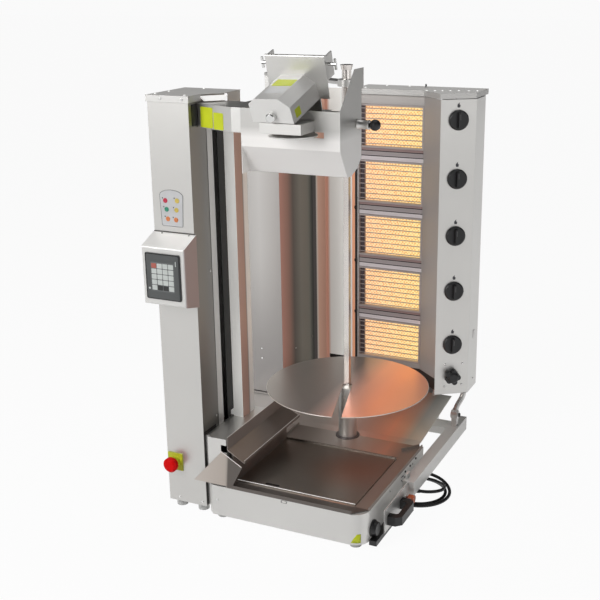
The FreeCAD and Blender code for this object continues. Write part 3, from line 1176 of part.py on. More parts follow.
def biarc(first, last, leave, arrive):
    """Two tangent arcs between two points with given headings."""
    span = last - first
    total = leave + arrive
    turn = 2 * (1 - leave.dot(arrive))
    reach = (math.sqrt(span.dot(total) ** 2 + turn * span.dot(span)) - span.dot(total)) / turn
    middle = (first + leave * reach + last - arrive * reach) * 0.5
    heading = (last - arrive * reach - first - leave * reach).normalize()
    return [arc_between(first, middle, leave), arc_between(middle, last, heading)]


def eased(share):
    """A soft step from 0 to 1 and its slope."""
    share = min(1.0, max(0.0, share))
    return share * share * (3 - 2 * share), 6 * share * (1 - share)


def coil_state(angle, total):
    """A point of the coil and its heading. It sinks to the floor at first and climbs to the plug at last."""
    radius = size("coil_radius") + size("coil_pitch") * angle / (2 * math.pi)
    bearing = math.radians(size("coil_start")) + angle
    climb = math.radians(size("coil_climb"))
    sunk, sink_slope = eased(angle / climb)
    risen, rise_slope = eased(1 - (total - angle) / climb)
    height = size("coil_drop") * (1 - sunk) + size("coil_lift") * risen
    slope = (size("coil_lift") * rise_slope - size("coil_drop") * sink_slope) / climb
    point = V(size("coil_x") + radius * math.cos(bearing), size("coil_y") + radius * math.sin(bearing),
              size("cable_diameter") / 2 + size("cable_rise") + height)
    growth = size("coil_pitch") / (2 * math.pi)
    heading = V(growth * math.cos(bearing) - radius * math.sin(bearing),
                growth * math.sin(bearing) + radius * math.cos(bearing), slope)
    return point, heading.normalize()


def coil_total():
    return 2 * math.pi * size("coil_turns")


def gland_face():
    return V(size("base_right") + size("gland_length"), size("gland_y"), size("gland_z"))


def cable():
    radius = size("cable_diameter") / 2
    total = coil_total()
    joint, joint_heading = coil_state(0, total)
    exit_point = gland_face()
    corners = [V(size("base_right"), size("gland_y"), size("gland_z")) + V(*corner) for corner in LEAD_CORNERS]
    route = [exit_point] + corners + [joint - joint_heading * size("lead_end"), joint]
    node("power_cable_lead", feature("cable_lead", bent_tube("power_cable_lead", route, radius, BEND_SHARE)))
    climb = math.radians(size("coil_climb"))
    quarters = int((total - 2 * climb) / (math.pi / 2))
    stops = [0, climb / 2] + [climb + math.pi / 2 * k for k in range(quarters + 1)]
    stops += [total - climb, total - climb / 2, total]
    edges = []
    for low, high in zip(stops, stops[1:]):
        first, leave = coil_state(low, total)
        last, arrive = coil_state(high, total)
        edges += biarc(first, last, leave, arrive)
    end, end_heading = coil_state(total, total)
    tip = end + end_heading * size("cable_diameter")
    edges.append(Part.LineSegment(end, tip).toShape())
    path = Part.Wire(edges)
    ring_wire = Part.Wire([Part.Circle(joint, joint_heading, radius).toShape()])
    coil = path.makePipeShell([ring_wire], True, False)
    points = path.discretize(400)
    step = path.Length / 399
    apart = int(4 * size("cable_diameter") / step)
    gap = min((a - b).Length for i, a in enumerate(points) for b in points[i + apart:]) - 2 * radius
    print("power_cable_coil length %.1f" % path.Length, "least gap to itself %.2f" % gap)
    print("power_cable_coil volume over section times length %.4f"
          % (coil.Volume / (math.pi * radius ** 2 * path.Length)))
    node("power_cable_coil", feature("cable_coil", coil))
    node_at_plug(tip, end_heading)


def node_at_plug(tip, heading):
    """The plug, whose body starts at the end of the cable."""
    level = V(heading.x, heading.y, 0).normalize()
    body = turned("plug_body", [
        ("0", "0"), ("cable_diameter / 2 + 1.5", "0"), ("cable_diameter / 2 + 2.5", "12"),
        ("plug_radius - 2", "18"), ("plug_radius", "24"), ("plug_radius", "plug_length"),
        ("0", "plug_length")])
    pins = [rod("plug_pin_%d" % i, "+Z", ("%d * pin_spacing / 2" % side, "0", "plug_length - 2"),
                "pin_radius",
                "pin_length + 2") for i, side in enumerate((-1, 1))]
    plug = fuse("plug_whole", body, *pins)
    node_at("power_plug", plug, tip, FreeCAD.Rotation(V(0, 0, 1), level))


def cable_gland():
    node("cable_gland", group("cable_gland_group", ring(
        "gland_ring", "+X", ("base_right", "gland_y", "gland_z"), "gland_radius", "cable_diameter / 2 - 1",
        "gland_length")))


for build in (base_shell, feet, drip_tray, tray_insert, rear_drip_sheet, side_block, column_shell, column_lid,
              slot_cover, guide_frame, lift_motor, lift_screw, lift_carriage, hmi_housing, hmi_panel, estop,
              spit_drive, meat_plate, hub_bearing, spit_gearmotor, spit_top_arm, rear_cabinet, rear_wall,
              heat_post, burner_housing, burner_casings, burner_ceramics, control_column, gas_train,
              burner_lid,
              gas_knobs, star_knob, slide_frame, slide_rail, bridge_handle, release_knob, main_switch_knob,
              cutter_arm, hood, plunger_knob, cutter_housing, cutter_motor, yoke, wing_screws, cutter_base,
              cutter_blade, slice_knob, slice_chute, cover_screws, support_tube, cable, cable_gland):
    build()

doc.recompute()
faults = [item.Label for item in doc.Objects if "Invalid" in item.State or "Error" in item.State]
for item in NODES:
    if item.Shape.isNull() or not item.Shape.isValid():
        faults.append(item.Label + " shape")
    elif not item.Shape.Solids:
        faults.append(item.Label + " has no solid")
if faults:
    raise SystemExit("failed: " + ", ".join(faults))
whole = FreeCAD.BoundBox()
for item in NODES:
    item.Shape.exportStep("parts/%s.step" % item.Label)
    if not item.Label.startswith("power_"):
        whole.add(item.Shape.BoundBox)
print("nodes", len(NODES), "solids", sum(len(item.Shape.Solids) for item in NODES))
print("box", whole)
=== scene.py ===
"""Looks of the upright kebab grill: materials, light, camera, the cable and the small surface details."""

import json
import math

import bmesh
import bpy
from mathutils import Matrix, Vector


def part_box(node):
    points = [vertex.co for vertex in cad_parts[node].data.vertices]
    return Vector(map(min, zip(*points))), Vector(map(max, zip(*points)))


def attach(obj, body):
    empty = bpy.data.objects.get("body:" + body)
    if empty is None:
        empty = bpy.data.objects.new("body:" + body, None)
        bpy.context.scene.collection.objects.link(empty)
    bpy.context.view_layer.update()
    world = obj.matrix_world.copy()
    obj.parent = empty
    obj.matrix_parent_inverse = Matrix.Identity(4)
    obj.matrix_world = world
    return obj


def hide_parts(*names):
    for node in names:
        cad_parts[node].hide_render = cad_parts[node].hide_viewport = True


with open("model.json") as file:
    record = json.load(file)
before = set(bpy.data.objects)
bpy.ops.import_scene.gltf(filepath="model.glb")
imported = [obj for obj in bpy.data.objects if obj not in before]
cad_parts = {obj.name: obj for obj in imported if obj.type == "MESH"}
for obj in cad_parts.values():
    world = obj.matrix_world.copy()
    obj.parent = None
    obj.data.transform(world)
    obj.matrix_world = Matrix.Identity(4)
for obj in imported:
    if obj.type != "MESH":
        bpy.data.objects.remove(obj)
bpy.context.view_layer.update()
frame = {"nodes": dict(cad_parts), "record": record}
NODES = frame["nodes"]
SLOT_OF = {row["node"]: row["material_slot"] for row in frame["record"]["subparts"]}
BODY_OF = {node: body for body, members in frame["record"]["behaviour"]["bodies"].items()
           for node in members}

# Camera.

CAMERA_PLACE = (1.1601, -2.4829, 1.3782)
CAMERA_TURN = (72.7745, 0.5609, 24.7057)
CAMERA_LENS = 62.57
CAMERA_SHIFT = (-0.0378, -0.005)


def camera():
    """The photograph's camera."""
    data = bpy.data.cameras.new("camera")
    data.sensor_width = 36
    data.lens = CAMERA_LENS
    data.shift_x, data.shift_y = CAMERA_SHIFT
    eye = bpy.data.objects.new("camera", data)
    eye.location = CAMERA_PLACE
    eye.rotation_euler = [math.radians(angle) for angle in CAMERA_TURN]
    bpy.context.scene.collection.objects.link(eye)
    bpy.context.scene.camera = eye


# Materials.

class Look:
    """A node material with short calls for the nodes that it needs."""

    def __init__(self, name):
        self.material = bpy.data.materials.new(name)
        self.material.use_nodes = True
        self.tree = self.material.node_tree
        self.shader = self.tree.nodes["Principled BSDF"]

    def add(self, kind, **values):
        """A new node; a value sets its property of that name, or else its input."""
        made = self.tree.nodes.new(kind)
        for key, value in values.items():
            if hasattr(made, key):
                setattr(made, key, value)
            else:
                made.inputs[key.replace("_", " ")].default_value = value
        return made

    def link(self, start, end):
        self.tree.links.new(start, end)

    def set(self, **values):
        """Values for inputs of the material's shader."""
        for key, value in values.items():
            self.shader.inputs[key.replace("_", " ")].default_value = value

    def place(self, scale=(1, 1, 1)):
        """The object's own coordinates, which are the frame's metres, scaled."""
        source = self.add("ShaderNodeTexCoord")
        mapping = self.add("ShaderNodeMapping")
        mapping.inputs["Scale"].default_value = scale
        self.link(source.outputs["Object"], mapping.inputs["Vector"])
        return mapping.outputs["Vector"]

    def noise(self, scale, detail=3.0, stretch=(1, 1, 1)):
        """Soft noise from 0 to 1 in the object's own coordinates."""
        made = self.add("ShaderNodeTexNoise", Scale=scale, Detail=detail)
        self.link(self.place(stretch), made.inputs["Vector"])
        return made.outputs["Fac"]

    def ramp(self, source, *stops):
        """A colour ramp from (place, colour) stops."""
        made = self.add("ShaderNodeValToRGB")
        elements = made.color_ramp.elements
        while len(elements) < len(stops):
            elements.new(0.5)
        for element, (at, colour) in zip(elements, stops):
            element.position = at
            element.color = (*colour, 1)
        self.link(source, made.inputs["Fac"])
        return made.outputs["Color"]

    def grey(self, source, low, high):
        """The source from 0 to 1 spread between two values."""
        made = self.add("ShaderNodeMapRange")
        made.inputs["To Min"].default_value = low
        made.inputs["To Max"].default_value = high
        self.link(source, made.inputs["Value"])
        return made.outputs["Result"]

    def mix(self, share, first, second):
        """A blend of two colours, each a node's output or a plain colour."""
        made = self.add("ShaderNodeMix", data_type="RGBA")
        for value, socket in ((share, made.inputs[0]), (first, made.inputs[6]), (second, made.inputs[7])):
            if isinstance(value, bpy.types.NodeSocket):
                self.link(value, socket)
            else:
                socket.default_value = value if isinstance(value, float) else (*value, 1)
        return made.outputs[2]

    def near(self, centre, reach):
        """1 at a place and 0 from a reach away."""
        source = self.add("ShaderNodeTexCoord")
        distance = self.add("ShaderNodeVectorMath", operation="DISTANCE")
        distance.inputs[1].default_value = centre
        self.link(source.outputs["Object"], distance.inputs[0])
        made = self.add("ShaderNodeMapRange", interpolation_type="SMOOTHSTEP")
        for socket, value in (("From Max", reach), ("To Min", 1.0), ("To Max", 0.0)):
            made.inputs[socket].default_value = value
        self.link(distance.outputs["Value"], made.inputs["Value"])
        return made.outputs["Result"]

    def facing(self, axis, low=0.6, high=0.95):
        """How far the surface faces along one axis of the object's own frame."""
        source = self.add("ShaderNodeTexCoord")
        split = self.add("ShaderNodeSeparateXYZ")
        self.link(source.outputs["Normal"], split.inputs[0])
        made = self.add("ShaderNodeMapRange", interpolation_type="SMOOTHSTEP")
        for socket, value in (("From Min", low), ("From Max", high)):
            made.inputs[socket].default_value = value
        self.link(split.outputs[axis], made.inputs["Value"])
        return made.outputs["Result"]

    def along(self, axis, low, high):
        """0 to 1 between two places of one axis of the object's own frame."""
        source = self.add("ShaderNodeTexCoord")
        split = self.add("ShaderNodeSeparateXYZ")
        self.link(source.outputs["Object"], split.inputs[0])
        made = self.add("ShaderNodeMapRange")
        made.inputs["From Min"].default_value = low
        made.inputs["From Max"].default_value = high
        self.link(split.outputs[axis], made.inputs["Value"])
        return made.outputs["Result"]

    def bands(self, axis, low, high, stops):
        """Colours that follow each other along one axis."""
        return self.ramp(self.along(axis, low, high), *stops)

    def bump(self, source, strength, distance=0.0005, edge=0.0):
        """Small relief, with the sheet's edges rounded for the light when an edge radius is given."""
        made = self.add("ShaderNodeBump", Strength=strength, Distance=distance)
        self.link(source, made.inputs["Height"])
        if edge:
            soft = self.add("ShaderNodeBevel", samples=4, Radius=edge)
            self.link(soft.outputs["Normal"], made.inputs["Normal"])
        self.link(made.outputs["Normal"], self.shader.inputs["Normal"])

    def colour(self, source):
        if isinstance(source, tuple):
            self.shader.inputs["Base Color"].default_value = (*source, 1)
        else:
            self.link(source, self.shader.inputs["Base Color"])

    def rough(self, source):
        self.link(source, self.shader.inputs["Roughness"])


GRAIN = {"X": (4, 900, 900), "Y": (900, 4, 900), "Z": (900, 900, 4)}
CLOUD_DARK, CLOUD_LIGHT = 0.93, 1.05
SHEET_ROUGH_SPREAD = 0.05
SHEET_RELIEF, SHEET_RELIEF_DEPTH = 0.03, 0.0002
# fades of the painted shade in a tray's front corner and of the painted light on the tops
FORE_FADE_BACK, FORE_FADE_LEFT = 0.006, 0.004
TOP_FADE = 0.3


def steel(name, base, roughness, grain, metallic=0.85, side=None, tints=(), bands=None, lift=0.0,
          side_lift=0.0, top_lift=0.0, top_from=0.6, fore=None, edge=0.0008):
    """Brushed stainless sheet with a fine grain along one axis and faint clouds.

    side is the colour, or the colours in bands, of what faces +X: painted shade and painted reflections of
    the fire on that side. bands and tints are painted reflections of the fire, painted highlights and
    painted shade, along an axis or round a place. fore is painted shade in a darker corner of a tray. The
    lifts are painted light, an emission that gives a little light to what only a mirror would show: all
    over, on the side and on the top."""
    look = Look(name)
    look.set(Metallic=metallic)
    fine = look.noise(1.0, 2.0, GRAIN[grain])
    cloud = look.noise(5.0, 4.0)
    plain = look.mix(cloud, [c * CLOUD_DARK for c in base], [min(1, c * CLOUD_LIGHT) for c in base])
    # glow is the strength of painted light: the sheet also emits its own colour
    shade, glow = plain, look.grey(cloud, lift, lift)
    # painted reflections of the fire, painted highlights and painted shade in bands along an axis, on faces
    # that don't face +Y
    if bands:
        behind = look.facing("Y")
        shade = look.mix(behind, look.bands(*bands), plain)
        glow = look.grey(behind, lift, 0.0)
    # painted reflections of the fire and painted shade, each round a place
    for centre, reach, colour in tints:
        shade = look.mix(look.near(centre, reach), shade, colour)
    # painted shade in the front corner of a tray
    if fore:
        back, left, colour = fore
        share = look.add("ShaderNodeMath", operation="MULTIPLY")
        look.link(look.along("Y", back, back - FORE_FADE_BACK), share.inputs[0])
        look.link(look.along("X", left, left + FORE_FADE_LEFT), share.inputs[1])
        shade = look.mix(share.outputs[0], shade, colour)
    # painted shade, painted reflections of the fire and painted light on faces that face +X
    if side:
        sideways = look.facing("X")
        one_colour = len(side) == 3
        shade = look.mix(sideways, shade, side if one_colour else look.bands(*side))
        glow = look.grey(sideways, lift, side_lift)
    # painted light on faces that face up
    if top_lift:
        glow = look.grey(look.facing("Z", top_from, top_from + TOP_FADE), lift, top_lift)
    look.colour(shade)
    # painted light: the sheet's colour is emitted as well
    if lift or side_lift or top_lift:
        look.link(shade, look.shader.inputs["Emission Color"])
        look.link(glow, look.shader.inputs["Emission Strength"])
    look.rough(look.grey(fine, roughness - SHEET_ROUGH_SPREAD, roughness + SHEET_ROUGH_SPREAD))
    look.bump(fine, SHEET_RELIEF, SHEET_RELIEF_DEPTH, edge)
    return look.material


PEBBLE_DEPTH = 0.0002
WORN_SHARE, BRIGHT_SHARE, BRIGHT_LEAST = 0.85, 1.2, 0.004
GLOSSIER, DULLER = 0.06, 0.08


def plastic(name, base, roughness, grain=900.0, strength=0.15, gloss=0.5):
    """Moulded plastic: a faint pebble and slightly worn gloss."""
    look = Look(name)
    look.set(Specular_IOR_Level=gloss)
    pebble = look.noise(grain, 3.0)
    wear = look.noise(22.0, 4.0)
    worn = [c * WORN_SHARE for c in base]
    bright = [min(1, c * BRIGHT_SHARE + BRIGHT_LEAST) for c in base]
    look.colour(look.mix(wear, worn, bright))
    look.rough(look.grey(wear, roughness - GLOSSIER, roughness + DULLER))
    look.bump(pebble, strength, PEBBLE_DEPTH)
    return look.material


def cast(name, base):
    """Cast metal with a grainy skin."""
    look = Look(name)
    look.set(Metallic=0.6)
    look.colour(look.ramp(look.noise(60.0, 5.0), (0.3, [c * 0.75 for c in base]), (0.7, base)))
    look.rough(look.grey(look.noise(35.0), 0.4, 0.6))
    look.bump(look.noise(500.0), 0.35, 0.0004)
    return look.material


CELLS_PER_METRE = 145.0
CELL_RIM, WALL_RIM = 0.26, 0.46
CELL_COLOUR, WALL_COLOUR = (0.70, 0.37, 0.08), (0.94, 0.74, 0.32)
COOL_CELL_COLOUR, COOL_WALL_COLOUR = (0.68, 0.29, 0.12), (0.96, 0.62, 0.37)
HOT_X, COOL_X = 0.18, -0.02
TILE_GLOW = 1.05


def glowing(name):
    """Hot perforated ceramic: small orange cells in a pale yellow lattice, redder towards the left end."""
    look = Look(name)
    look.set(Roughness=0.8)
    cells = look.add("ShaderNodeTexVoronoi", Scale=CELLS_PER_METRE, Randomness=0.3)
    lattice = look.add("ShaderNodeVectorRotate", rotation_type="Y_AXIS", Angle=math.radians(45))
    look.link(look.place((1, 0, 1)), lattice.inputs["Vector"])
    look.link(lattice.outputs["Vector"], cells.inputs["Vector"])
    depth = cells.outputs["Distance"]
    hot = look.ramp(depth, (CELL_RIM, CELL_COLOUR), (WALL_RIM, WALL_COLOUR))
    cool = look.ramp(depth, (CELL_RIM, COOL_CELL_COLOUR), (WALL_RIM, COOL_WALL_COLOUR))
    heat = look.mix(look.along("X", HOT_X, COOL_X), hot, cool)
    look.colour((0.3, 0.2, 0.12))
    look.link(heat, look.shader.inputs["Emission Color"])
    look.set(Emission_Strength=TILE_GLOW)
    look.bump(depth, 0.5, 0.001)
    return look.material


# FIRE is the centre of a painted reflection of the burners' glow on polished steel
FIRE = (0.10, 0.31, 0.60)
MATERIALS = {
    "satin_steel": steel("satin_steel", (0.66, 0.65, 0.63), 0.38, "Z"),
    "polished_steel": steel("polished_steel", (0.47, 0.44, 0.41), 0.40, "X", 0.95,
                            tints=[(FIRE, 0.72, (0.62, 0.36, 0.28))]),
    "dark_steel": steel("dark_steel", (0.26, 0.24, 0.24), 0.50, "X", 0.7),
    "machined_steel": steel("machined_steel", (0.70, 0.70, 0.69), 0.24, "Z", 1.0),
    "cast_grey": cast("cast_grey", (0.33, 0.34, 0.35)),
    "black_plastic": plastic("black_plastic", (0.012, 0.012, 0.013), 0.42),
    "black_rubber": plastic("black_rubber", (0.018, 0.018, 0.018), 0.7, 600.0, 0.3),
    "yellow_plastic": plastic("yellow_plastic", (0.58, 0.62, 0.03), 0.4),
    "red_plastic": plastic("red_plastic", (0.80, 0.002, 0.002), 0.5, gloss=0.12),
    "orange_plastic": plastic("orange_plastic", (0.55, 0.10, 0.02), 0.35),
    "glowing_ceramic": glowing("glowing_ceramic"),
    "brass_fittings": steel("brass_fittings", (0.60, 0.42, 0.16), 0.3, "Z", 1.0),
    "cable_jacket": plastic("cable_jacket", (0.010, 0.010, 0.011), 0.45, 1400.0, 0.1),
}

# Painted and printed surfaces by colour and roughness, then strips of sheet with painted highlights, painted
# reflections of the glow and painted shade, by colour, roughness, grain, metallic share, painted light of
# their own and the colour of what faces +X.

PAINT_GRAIN, PAINT_RELIEF = 1200.0, 0.05
PAINTS = {
    "legend_grey": ((0.60, 0.60, 0.61), 0.45),
    "border_grey": ((0.07, 0.07, 0.08), 0.5),
    "pad_red": ((0.55, 0.02, 0.06), 0.4),
    "pad_yellow": ((0.66, 0.50, 0.10), 0.4),
    "pad_green": ((0.03, 0.28, 0.17), 0.4),
    "pad_orange": ((0.70, 0.22, 0.07), 0.4),
    "patch_yellow": ((0.66, 0.74, 0.02), 0.4),
    "label_pale": ((0.74, 0.74, 0.74), 0.4),
    "bezel_grey": ((0.085, 0.09, 0.09), 0.35),
    "screen_grey": ((0.16, 0.17, 0.17), 0.25),
    "key_pale": ((0.62, 0.65, 0.63), 0.3),
    "key_dark": ((0.02, 0.02, 0.02), 0.3),
    "key_red": ((0.46, 0.12, 0.09), 0.5),
    "pointer_grey": ((0.10, 0.10, 0.10), 0.5),
    "catch_grey": ((0.22, 0.21, 0.20), 0.5),
    # dark joints, and painted shade in gaps
    "gap_grey": ((0.055, 0.05, 0.045), 0.5),
    "gap_black": ((0.018, 0.015, 0.014), 0.55),
}
TRIM = {
    # painted highlights on edges, screws and the lid's flap: pale steel with painted light of its own
    "edge_lit": ((0.90, 0.88, 0.85), 0.4, "X", 0.4, 0.45, None),
    "rim_highlight": ((0.86, 0.80, 0.74), 0.4, "X", 0.4, 0.16, (0.70, 0.68, 0.66)),
    "soft_edge_highlight": ((0.70, 0.66, 0.63), 0.4, "Y", 0.5, 0.25, None),
    "screw_highlight": ((0.95, 0.95, 0.93), 0.3, "Z", 0.4, 0.6, None),
    "flap_highlight": ((0.92, 0.91, 0.89), 0.5, "X", 0.2, 0.5, None),
    # painted reflection of the burners' glow, with painted light of its own
    "glow_reflection_strip": ((0.74, 0.34, 0.20), 0.5, "Z", 0.2, 0.42, None),
    # painted shade
    "mauve_painted_shade": ((0.11, 0.09, 0.10), 0.5, "X", 0.3, 0.0, None),
    # lit and shaded tones of one sheet for the faces of the bands' folds, with painted light of their own
    "band_brown": ((0.36, 0.25, 0.24), 0.5, "X", 0.4, 0.10, None),
    "band_mauve": ((0.44, 0.39, 0.39), 0.5, "X", 0.4, 0.10, None),
    "band_pale": ((0.72, 0.66, 0.67), 0.45, "X", 0.4, 0.16, None),
    "rail_bright": ((0.80, 0.78, 0.76), 0.4, "Z", 0.5, 0.0, None),
}
for paint, (shade, roughness) in PAINTS.items():
    MATERIALS[paint] = plastic(paint, shade, roughness, PAINT_GRAIN, PAINT_RELIEF)
for trim, (shade, roughness, grain, metallic, lift, side) in TRIM.items():
    MATERIALS[trim] = steel(trim, shade, roughness, grain, metallic, side=side, lift=lift)


def dress(obj, material):
    obj.data.materials.clear()
    obj.data.materials.append(material)


def special_looks():
    """Sheet work with painted shade where its sides lie in the machine's own shade, painted reflections of
    the burners' glow and painted light.
    """
    pale = (0.70, 0.69, 0.67)
    # painted reflections of the burners' glow and painted shade along the cabinet's side
    cabinet_side_reflection_and_shade = ("Y", 0.2022, 0.4322, [(0.0, (0.38, 0.19, 0.15)), (0.22, (0.24, 0.13, 0.10)),
                                          (0.38, (0.08, 0.07, 0.06)), (0.6, (0.15, 0.15, 0.13)),
                                          (0.85, (0.15, 0.15, 0.13)), (1.0, (0.05, 0.05, 0.045))])
    # painted shading across the cabinet's front, lighter in the middle
    cabinet_front_shading = ("X", -0.3475, -0.2225, [(0.0, (0.50, 0.48, 0.46)), (0.45, (0.60, 0.58, 0.56)),
                                             (1.0, (0.48, 0.45, 0.43))])
    # painted shadow, painted reflections of the burners' glow and painted light across the rear wall
    wall = ("X", -0.2225, -0.0205, [(0.05, (0.10, 0.09, 0.085)), (0.08, (0.60, 0.55, 0.50)),
                                    (0.12, (0.60, 0.36, 0.27)), (0.26, (0.45, 0.24, 0.18)),
                                    (0.30, (0.60, 0.58, 0.55)), (0.52, (0.72, 0.71, 0.68)),
                                    (1.0, (0.56, 0.54, 0.52))])
    # painted reflection of the burners' glow across the round plate, strongest towards its right
    plate = ("X", -0.1675, 0.2905, [(0.0, (0.37, 0.35, 0.325)), (0.44, (0.27, 0.25, 0.235)),
                                    (0.52, (0.46, 0.35, 0.32)), (0.62, (0.76, 0.42, 0.33)),
                                    (0.78, (0.92, 0.41, 0.27)), (1.0, (0.78, 0.41, 0.29))])
    # painted reflection of the burners' glow across the rear drip sheet
    back_sheet_reflection = ("X", -0.3475, 0.2715, [(0.0, (0.56, 0.54, 0.52)), (0.5, (0.50, 0.47, 0.44)),
                                         (0.68, (0.56, 0.36, 0.30)), (0.83, (0.86, 0.41, 0.28)),
                                         (0.89, (0.72, 0.43, 0.32)), (0.94, (0.54, 0.54, 0.50)),
                                         (1.0, (0.74, 0.74, 0.69))])
    # painted reflection of the burners' glow and bands of painted shade across the drip tray
    tray = ("X", -0.1965, 0.2875, [(0.0, (0.52, 0.47, 0.43)), (0.19, (0.44, 0.39, 0.35)),
                                   (0.21, (0.26, 0.23, 0.21)), (0.5, (0.50, 0.47, 0.44)),
                                   (0.65, (0.52, 0.38, 0.32)), (0.82, (0.70, 0.39, 0.29)),
                                   (0.92, (0.33, 0.28, 0.25)), (1.0, (0.34, 0.29, 0.26))])
    # painted reflection of the burners' glow and a line of painted shade along the post's side
    post_side_reflection_and_shade = ("Y", -0.2138, -0.1508, [(0.0, (0.50, 0.32, 0.27)), (0.54, (0.46, 0.29, 0.24)),
                                         (0.60, (0.30, 0.26, 0.25)), (0.66, (0.80, 0.77, 0.74)),
                                         (1.0, (0.84, 0.81, 0.78))])
    # painted highlight low on the hood and painted shade higher up
    hood = ("Z", 0.93, 1.171, [(0.0, (0.90, 0.88, 0.86)), (0.36, (0.86, 0.84, 0.82)),
                               (0.46, (0.56, 0.55, 0.53)), (1.0, (0.56, 0.55, 0.53))])
    # painted shade, darker low on the cabinet's front
    cabinet_foot_shade = [((-0.285, 0.2, 0.2), 0.42, (0.36, 0.34, 0.33))]
    # painted reflection of the burners' glow round a corner of the tray insert
    glow_reflection_corner = [((0.16, -0.16, 0.11), 0.15, (0.36, 0.22, 0.17))]
    return {
        # painted shade: the column's side that faces +X is darker, as if mirroring the machine's dark inside
        "column_shell": steel("column_steel", (0.61, 0.60, 0.58), 0.38, "Z", side=(0.29, 0.28, 0.265)),
        # painted light on the tops of both lids
        "column_lid": steel("lid_steel", pale, 0.45, "X", 0.45, top_lift=0.20),
        "burner_lid": steel("burner_lid_steel", pale, 0.45, "X", 0.45, top_lift=0.32),
        # painted reflection of the glow on the side that faces +X, and painted light on the top
        "hmi_housing": steel("hmi_steel", (0.74, 0.73, 0.71), 0.40, "X", 0.45, side=(0.48, 0.37, 0.355),
                             top_lift=0.5, top_from=0.3),
        # painted light on the post all over and on its side
        "heat_post": steel("post_steel", (0.86, 0.85, 0.82), 0.40, "Z", 0.35, side=post_side_reflection_and_shade, lift=0.26,
                           side_lift=0.16),
        # painted light on the frame's top
        "slide_frame": steel("frame_steel", (0.72, 0.71, 0.69), 0.45, "Y", 0.5, top_lift=0.10),
        # painted light on the side of the plinth that faces +X
        "base_shell": steel("base_steel", pale, 0.42, "X", 0.55, side=pale, side_lift=0.14),
        # painted light on the cabinet's side
        "rear_cabinet": steel("cabinet_steel", (0.66, 0.65, 0.63), 0.40, "Z", 0.7, side=cabinet_side_reflection_and_shade,
                              bands=cabinet_front_shading, tints=cabinet_foot_shade, side_lift=0.36),
        # painted light on the rear wall's front
        "rear_wall": steel("wall_steel", (0.50, 0.49, 0.48), 0.45, "Z", 0.6, bands=wall, lift=0.42),
        "hood": steel("hood_steel", (0.64, 0.63, 0.61), 0.42, "X", 0.45, bands=hood),
        "cutter_housing": steel("head_steel", (0.78, 0.77, 0.75), 0.50, "Y", 0.45),
        # a little painted light on the reflector and the casings
        "burner_housing": steel("reflector_steel", (0.56, 0.53, 0.51), 0.55, "Z", 0.5, lift=0.04),
        "burner_casings": steel("casing_steel", (0.50, 0.44, 0.43), 0.55, "X", 0.4, lift=0.05),
        # painted light on the plate
        "meat_plate": steel("plate_steel", (0.40, 0.38, 0.36), 0.38, "X", 0.9, bands=plate, lift=0.16),
        # painted shade in the tray's front corner, and painted light
        "drip_tray": steel("tray_steel", (0.36, 0.33, 0.31), 0.42, "X", 0.85, bands=tray, lift=0.09,
                           fore=(-0.335, -0.0995, (0.13, 0.115, 0.105))),
        # painted reflection and painted light on the rear drip sheet
        "rear_drip_sheet": steel("drip_steel", (0.46, 0.42, 0.39), 0.42, "X", 0.85, bands=back_sheet_reflection,
                                 lift=0.12),
        "tray_insert": steel("insert_steel", (0.30, 0.27, 0.24), 0.46, "X", 0.85, tints=glow_reflection_corner),
        "slice_chute": steel("chute_steel", (0.40, 0.35, 0.32), 0.50, "Y", 0.8),
        "spit": steel("spit_steel", (0.72, 0.68, 0.65), 0.24, "Z", 1.0),
        "spit_hub": steel("hub_steel", (0.72, 0.71, 0.68), 0.42, "Z", 0.6),
        "cutter_blade": steel("blade_steel", (0.74, 0.73, 0.71), 0.35, "X", 0.7),
        "feet": plastic("foot_grey", (0.55, 0.55, 0.54), 0.5),
    }


def dress_nodes():
    """Every solid of the frame gets its own look or else that of its material slot."""
    special = special_looks()
    for name, obj in NODES.items():
        dress(obj, special.get(name, MATERIALS[SLOT_OF[name]]))


# Small builders.

RIGHT, BACK, UP = Vector((1, 0, 0)), Vector((0, 1, 0)), Vector((0, 0, 1))
SOURCE_ORIGIN = (292.5, 347.8)
CORNER_STEPS = 4


def at(x, y, z):
    """A place given as in the part's source: millimetres from the left front foot of the column."""
    return Vector(((x - SOURCE_ORIGIN[0]) / 1000, (y - SOURCE_ORIGIN[1]) / 1000, z / 1000))


def frame_of(origin, across, up):
    """The matrix of a local frame whose X runs across, Y up, and Z out of a face."""
    out = across.cross(up).normalized()
    return Matrix.Translation(origin) @ Matrix((across, up, out)).transposed().to_4x4()


def moved(place, x, y, z=0.0):
    """A local frame shifted by millimetres along its own axes."""
    return place @ Matrix.Translation((x / 1000, y / 1000, z / 1000))


def held(obj, node):
    """A new piece rides with the body of the node that carries it."""
    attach(obj, BODY_OF[node])
    return obj


def from_bmesh(name, mesh, material, smooth=False):
    """A new object from a mesh that is then done with."""
    data = bpy.data.meshes.new(name)
    mesh.to_mesh(data)
    mesh.free()
    if smooth:
        for face in data.polygons:
            face.use_smooth = True
    obj = bpy.data.objects.new(name, data)
    bpy.context.scene.collection.objects.link(obj)
    dress(obj, material)
    return obj


def thicken(obj, thickness):
    """Gives a sheet its thickness in millimetres."""
    modifier = obj.modifiers.new("thickness", "SOLIDIFY")
    modifier.thickness = thickness / 1000


